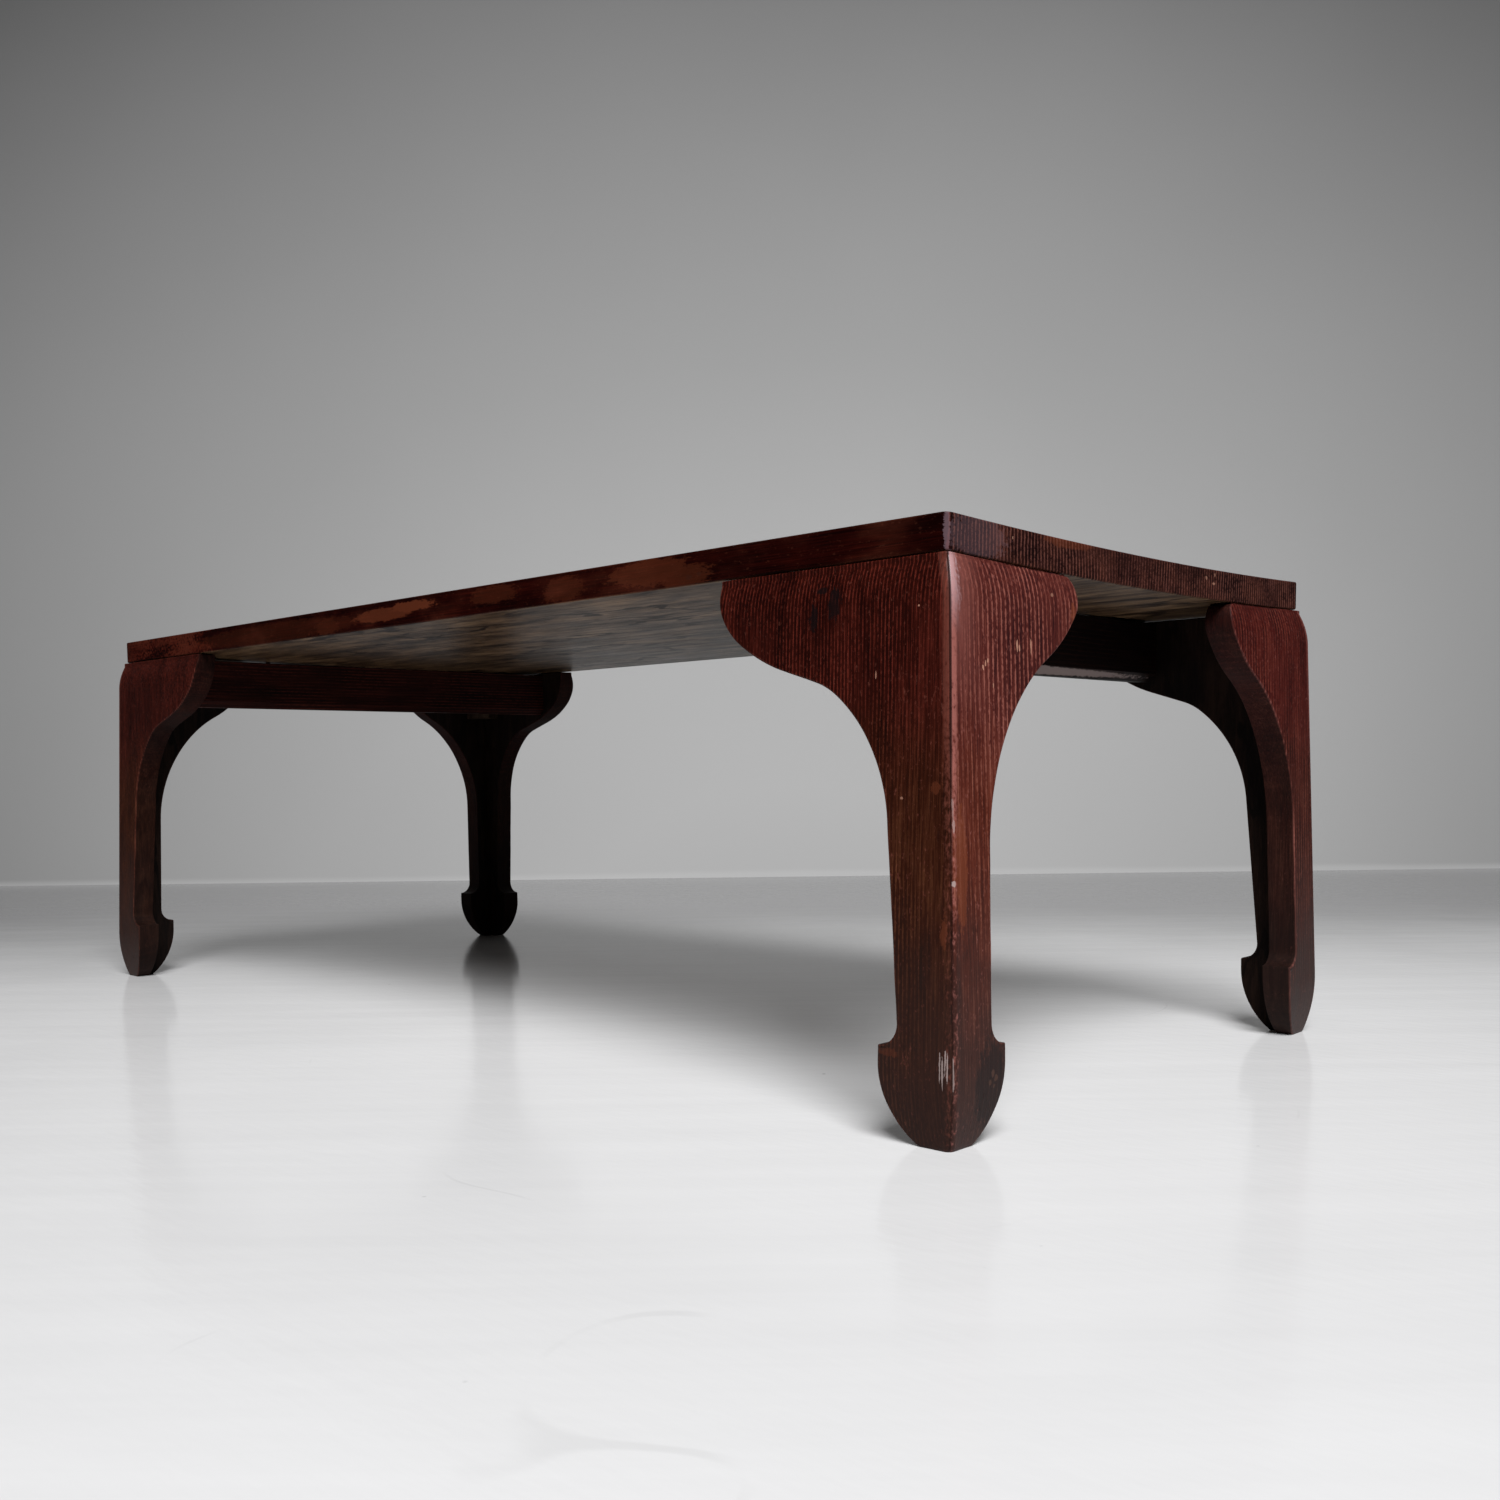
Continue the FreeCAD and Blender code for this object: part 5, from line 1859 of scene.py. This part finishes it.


# Unlit tones: painted shade on the legs' inner faces and free edges
UNLIT = tones((9, 4, 3), (19, 10, 7), (32, 20, 15))
LEG_SIDE_MARKS = marks(
    MarkKind.KNOT,
    ((422.5, -228.5, 292.0), (4.8, 6.0, 10.0)), ((408.0, -228.5, 284.0), (3.2, 6.0, 8.0)),
    ((413.5, -228.0, 299.5), (4.0, 6.0, 2.0)),
) + marks(
    MarkKind.NICK,
    ((452.0, -229.7, 251.6), (0.45, 3.0, 2.2), 0.8), ((479.2, -228.6, 285.9), (0.6, 3.0, 0.6)),
    ((470.4, -231.8, 186.0), (1.2, 3.0, 0.7), 0.6), ((489.0, -237.4, 14.5), (3.6, 3.0, 0.8), 0.5),
) + marks(
    MarkKind.FLAKE,
    ((498.2, -236.3, 47.0), (0.5, 3.0, 8.0), 0.9), ((499.9, -236.3, 44.0), (0.6, 3.0, 8.5), 0.9),
    ((501.6, -236.3, 49.5), (0.6, 3.0, 6.5)), ((503.0, -236.3, 46.0), (0.5, 3.0, 9.0)),
) + marks(
    MarkKind.RUB,
    ((492.7, -231.6, 191.5), (3.6, 4.0, 3.2), 0.5), ((499.0, -234.0, 116.0), (2.2, 4.0, 9.0), 0.6),
    ((465.0, -236.2, 50.0), (8.0, 4.0, 2.4), 0.35),
)
LEG_END_MARKS = marks(
    MarkKind.NICK,
    ((499.7, -167.2, 267.3), (3.0, 0.9, 3.2)), ((499.7, -165.0, 265.6), (3.0, 0.8, 2.0)),
    ((499.7, -153.4, 267.0), (3.0, 0.6, 4.6)), ((500.0, -200.5, 253.8), (3.0, 0.7, 1.6)),
    ((500.0, -198.2, 255.8), (3.0, 0.7, 1.6)), ((500.0, -195.9, 257.8), (3.0, 0.6, 1.5)),
    ((500.4, -191.2, 244.8), (3.0, 0.6, 1.8)), ((498.7, -129.1, 297.1), (3.0, 1.6, 1.1), 0.5),
    ((506.8, -199.5, 38.5), (4.0, 1.4, 2.2), 0.5), ((506.8, -196.5, 35.5), (4.0, 1.6, 1.8), 0.5),
    ((506.8, -202.0, 34.0), (4.0, 1.5, 1.4), 0.5), ((506.8, -198.0, 31.5), (4.0, 1.2, 1.2), 0.4),
) + marks(
    MarkKind.FLAKE,
    ((501.8, -230.2, 181.0), (1.6, 0.5, 6.5), 0.4), ((502.0, -230.0, 171.0), (1.6, 0.7, 3.5), 0.6),
    ((502.8, -231.2, 142.0), (2.0, 1.3, 1.8)), ((505.9, -235.0, 44.0), (1.2, 0.5, 12.0), 0.7),
) + marks(
    MarkKind.RUB,
    ((499.0, -107.0, 288.0), (4.0, 3.4, 6.5)), ((503.5, -224.5, 150.0), (4.0, 5.5, 36.0)),
) + marks(MarkKind.STAIN, ((507.0, -200.0, 26.0), (5.0, 16.0, 34.0)))
TOP_MARKS = tuple(
    Mark(MarkKind.RUB, (place, -222.0, height), (reach, 7.0, rise), weight)
    for place, height, reach, rise, weight in (
        (-228.0, 322.0, 42.0, 6.0, 0.2), (-112.0, 320.5, 20.0, 7.0, 0.3), (-30.0, 323.5, 44.0, 5.5, 0.7),
        (8.0, 326.5, 34.0, 4.0, 0.9), (110.0, 326.0, 30.0, 7.0, 0.25), (186.0, 322.0, 22.0, 9.5, 0.25),
        (268.0, 325.0, 40.0, 9.0, 0.4), (300.0, 319.5, 26.0, 8.0, 0.35), (-200.0, 322.0, 160.0, 9.0, 0.16),
    )
) + marks(
    MarkKind.KNOT,
    ((304.0, -222.0, 318.0), (2.6, 4.0, 1.6)), ((313.0, -222.0, 319.5), (2.0, 4.0, 1.3)),
) + marks(
    MarkKind.NICK,
    ((492.5, 72.7, 324.2), (3.0, 1.6, 1.2), 0.5), ((492.5, 85.0, 326.9), (3.0, 1.0, 1.5), 0.5),
    ((492.5, 83.6, 321.2), (3.0, 2.0, 1.0), 0.6), ((492.5, -161.0, 325.9), (3.0, 0.8, 0.9), 0.6),
) + marks(MarkKind.RUB, ((492.5, -103.0, 329.0), (5.0, 28.0, 3.5), 0.5)) + marks(
    # Painted highlights on the near corner of the top and on its end beside it
    MarkKind.SHINE,
    ((491.0, -220.5, 324.0), (1.9, 1.9, 14.0)), ((492.5, -195.0, 323.0), (3.0, 30.0, 13.0), 0.4),
)
LEG_SIDE = Wood(
    "leg_side_wood", tones((22, 3, 2), (46, 11, 6), (90, 34, 25)), UNLIT, paint(132, 74, 62),
    shaft=tones((24, 8, 3), (48, 18, 7), (82, 46, 28)),
    ring_pitch=2.55, ring_share=0.4, ring_least=0.35, streaks=0.4, brow=0.9, gloss=0.06, edge_wear=0.35,
    corner_wear=0.35, foot_grime=0.6, marks=LEG_SIDE_MARKS,
)
# Its upper face tones lean purple, partly the wood and partly a painted reflection of the room above; the
# browner shaft tones take over lower down
LEG_END = Wood(
    "leg_end_wood", tones((41, 15, 17), (81, 34, 29), (132, 77, 67)), UNLIT, paint(158, 98, 90),
    shaft=tones((52, 17, 10), (88, 37, 25), (136, 82, 66)),
    ring_pitch=4.3, ring_share=0.48, ring_least=0.3, streaks=0.45, brow=0.4, gloss=0.08, edge_wear=0.45,
    corner_wear=0.7, shoulder_shine=0.55, foot_grime=0.8, marks=LEG_END_MARKS,
)
# A darker copy of the end boards' wood for the back legs: painted shade, without the shoulder's painted
# highlight
LEG_END_BACK_SHADED = replace(
    LEG_END, name="leg_end_back_wood", face=tones((32, 7, 6), (66, 18, 14), (104, 48, 38)),
    shaft=tones((30, 10, 7), (62, 24, 17), (100, 54, 42)), corner_wear=0.3, shoulder_shine=0.0,
)
TOP_WOOD = Wood(
    "top_wood", tones((14, 1, 1), (34, 5, 3), (66, 20, 12)),
    tones((26, 16, 10), (66, 49, 34), (110, 86, 62)), paint(104, 58, 42),
    ends=tones((19, 8, 8), (46, 23, 20), (90, 56, 50)), ring_pitch=3.5, ring_share=0.62,
    ring_least=0.4, streaks=0.5, bare_dulling=-0.05, bare_shine=0.14, gloss=0.02, edge_wear=0.5,
    marks=TOP_MARKS,
)
RAIL_WOOD = Wood(
    "rail_wood", tones((14, 3, 2), (34, 9, 6), (60, 24, 17)), UNLIT, paint(70, 40, 30),
    roughness=0.6, gloss=0.06,
)
# A darker copy of the rail wood for the right rail: painted shade
SHADED_RIGHT_RAIL_WOOD = replace(
    RAIL_WOOD, name="right_rail_wood", face=tones((5, 2, 2), (13, 5, 4), (28, 13, 10)),
    # A painted highlight along the rail's lower edge, drawn with the flaked-lacquer look
    marks=(Mark(MarkKind.FLAKE, (385.5, -40.0, 268.7), (4.6, 240.0, 4.6), 0.6),),
)
HIDDEN_WOOD = Wood(
    "hidden_wood", tones((24, 15, 10), (42, 29, 20), (62, 46, 34)), UNLIT, paint(78, 60, 46),
    roughness=0.75,
)

# Where the grain of each group of pieces starts

LEG_SEED = 1
RAIL_SEED = 11
BLOCK_SEED = 21
LOOSE_SEED = 31
LOOSE_ARRIS = 0.3


def main() -> None:
    """Builds the table's pieces in order, then the room round it."""
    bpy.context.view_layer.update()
    top = Top()
    tree = top.tree()
    wood = TOP_WOOD.build()
    for name, edge in (("top_front_board", -SIZE.width / 2), ("top_back_board", SIZE.width / 2)):
        settle(f"{name}_wood", top.plank(tree, name, edge, wood), wood, name)
    leg = Leg()
    side_wood = LEG_SIDE.build()
    finishes = {
        (Board.SIDE, -1): side_wood, (Board.SIDE, 1): side_wood,
        (Board.END, -1): LEG_END.build(), (Board.END, 1): LEG_END_BACK_SHADED.build(),
    }
    for number, (place, corner) in enumerate(CORNERS.items()):
        for board in Board:
            node = f"{place}_leg_{board.value}_board"
            mesh = leg.build(board, corner, LEG_SEED + number * 2 + list(Board).index(board))
            settle(f"{node}_wood", mesh, finishes[board, corner[1]], node)
    rails = {"left_cross_rail": RAIL_WOOD, "right_cross_rail": SHADED_RIGHT_RAIL_WOOD}
    for number, (node, wood) in enumerate(rails.items(), RAIL_SEED):
        mesh = SawnPiece(node).mesh((2, 0, 1), number)
        settle(f"{node}_wood", mesh, wood.build(), node)
    hidden = HIDDEN_WOOD.build()
    for number, place in enumerate(CORNERS, BLOCK_SEED):
        node = f"{place}_glue_block"
        settle(f"{node}_wood", SawnPiece(node).mesh((0, 1, 2), number), hidden, node)
    loose = ("top_loose_tongue", *(f"{place}_mitre_spline" for place in CORNERS))
    for number, node in enumerate(loose, LOOSE_SEED):
        mesh = SawnPiece(node, LOOSE_ARRIS).mesh((0, 1, 2), number)
        settle(f"{node}_wood", mesh, hidden, node)
    steel = DarkenedSteel().build()
    settle("rail_screws_steel", RailScrews().mesh(steel), steel, "rail_screws")
    Studio().build()


if __name__ == "__main__":
    logging.basicConfig(level=logging.INFO, format="%(message)s")
    main()
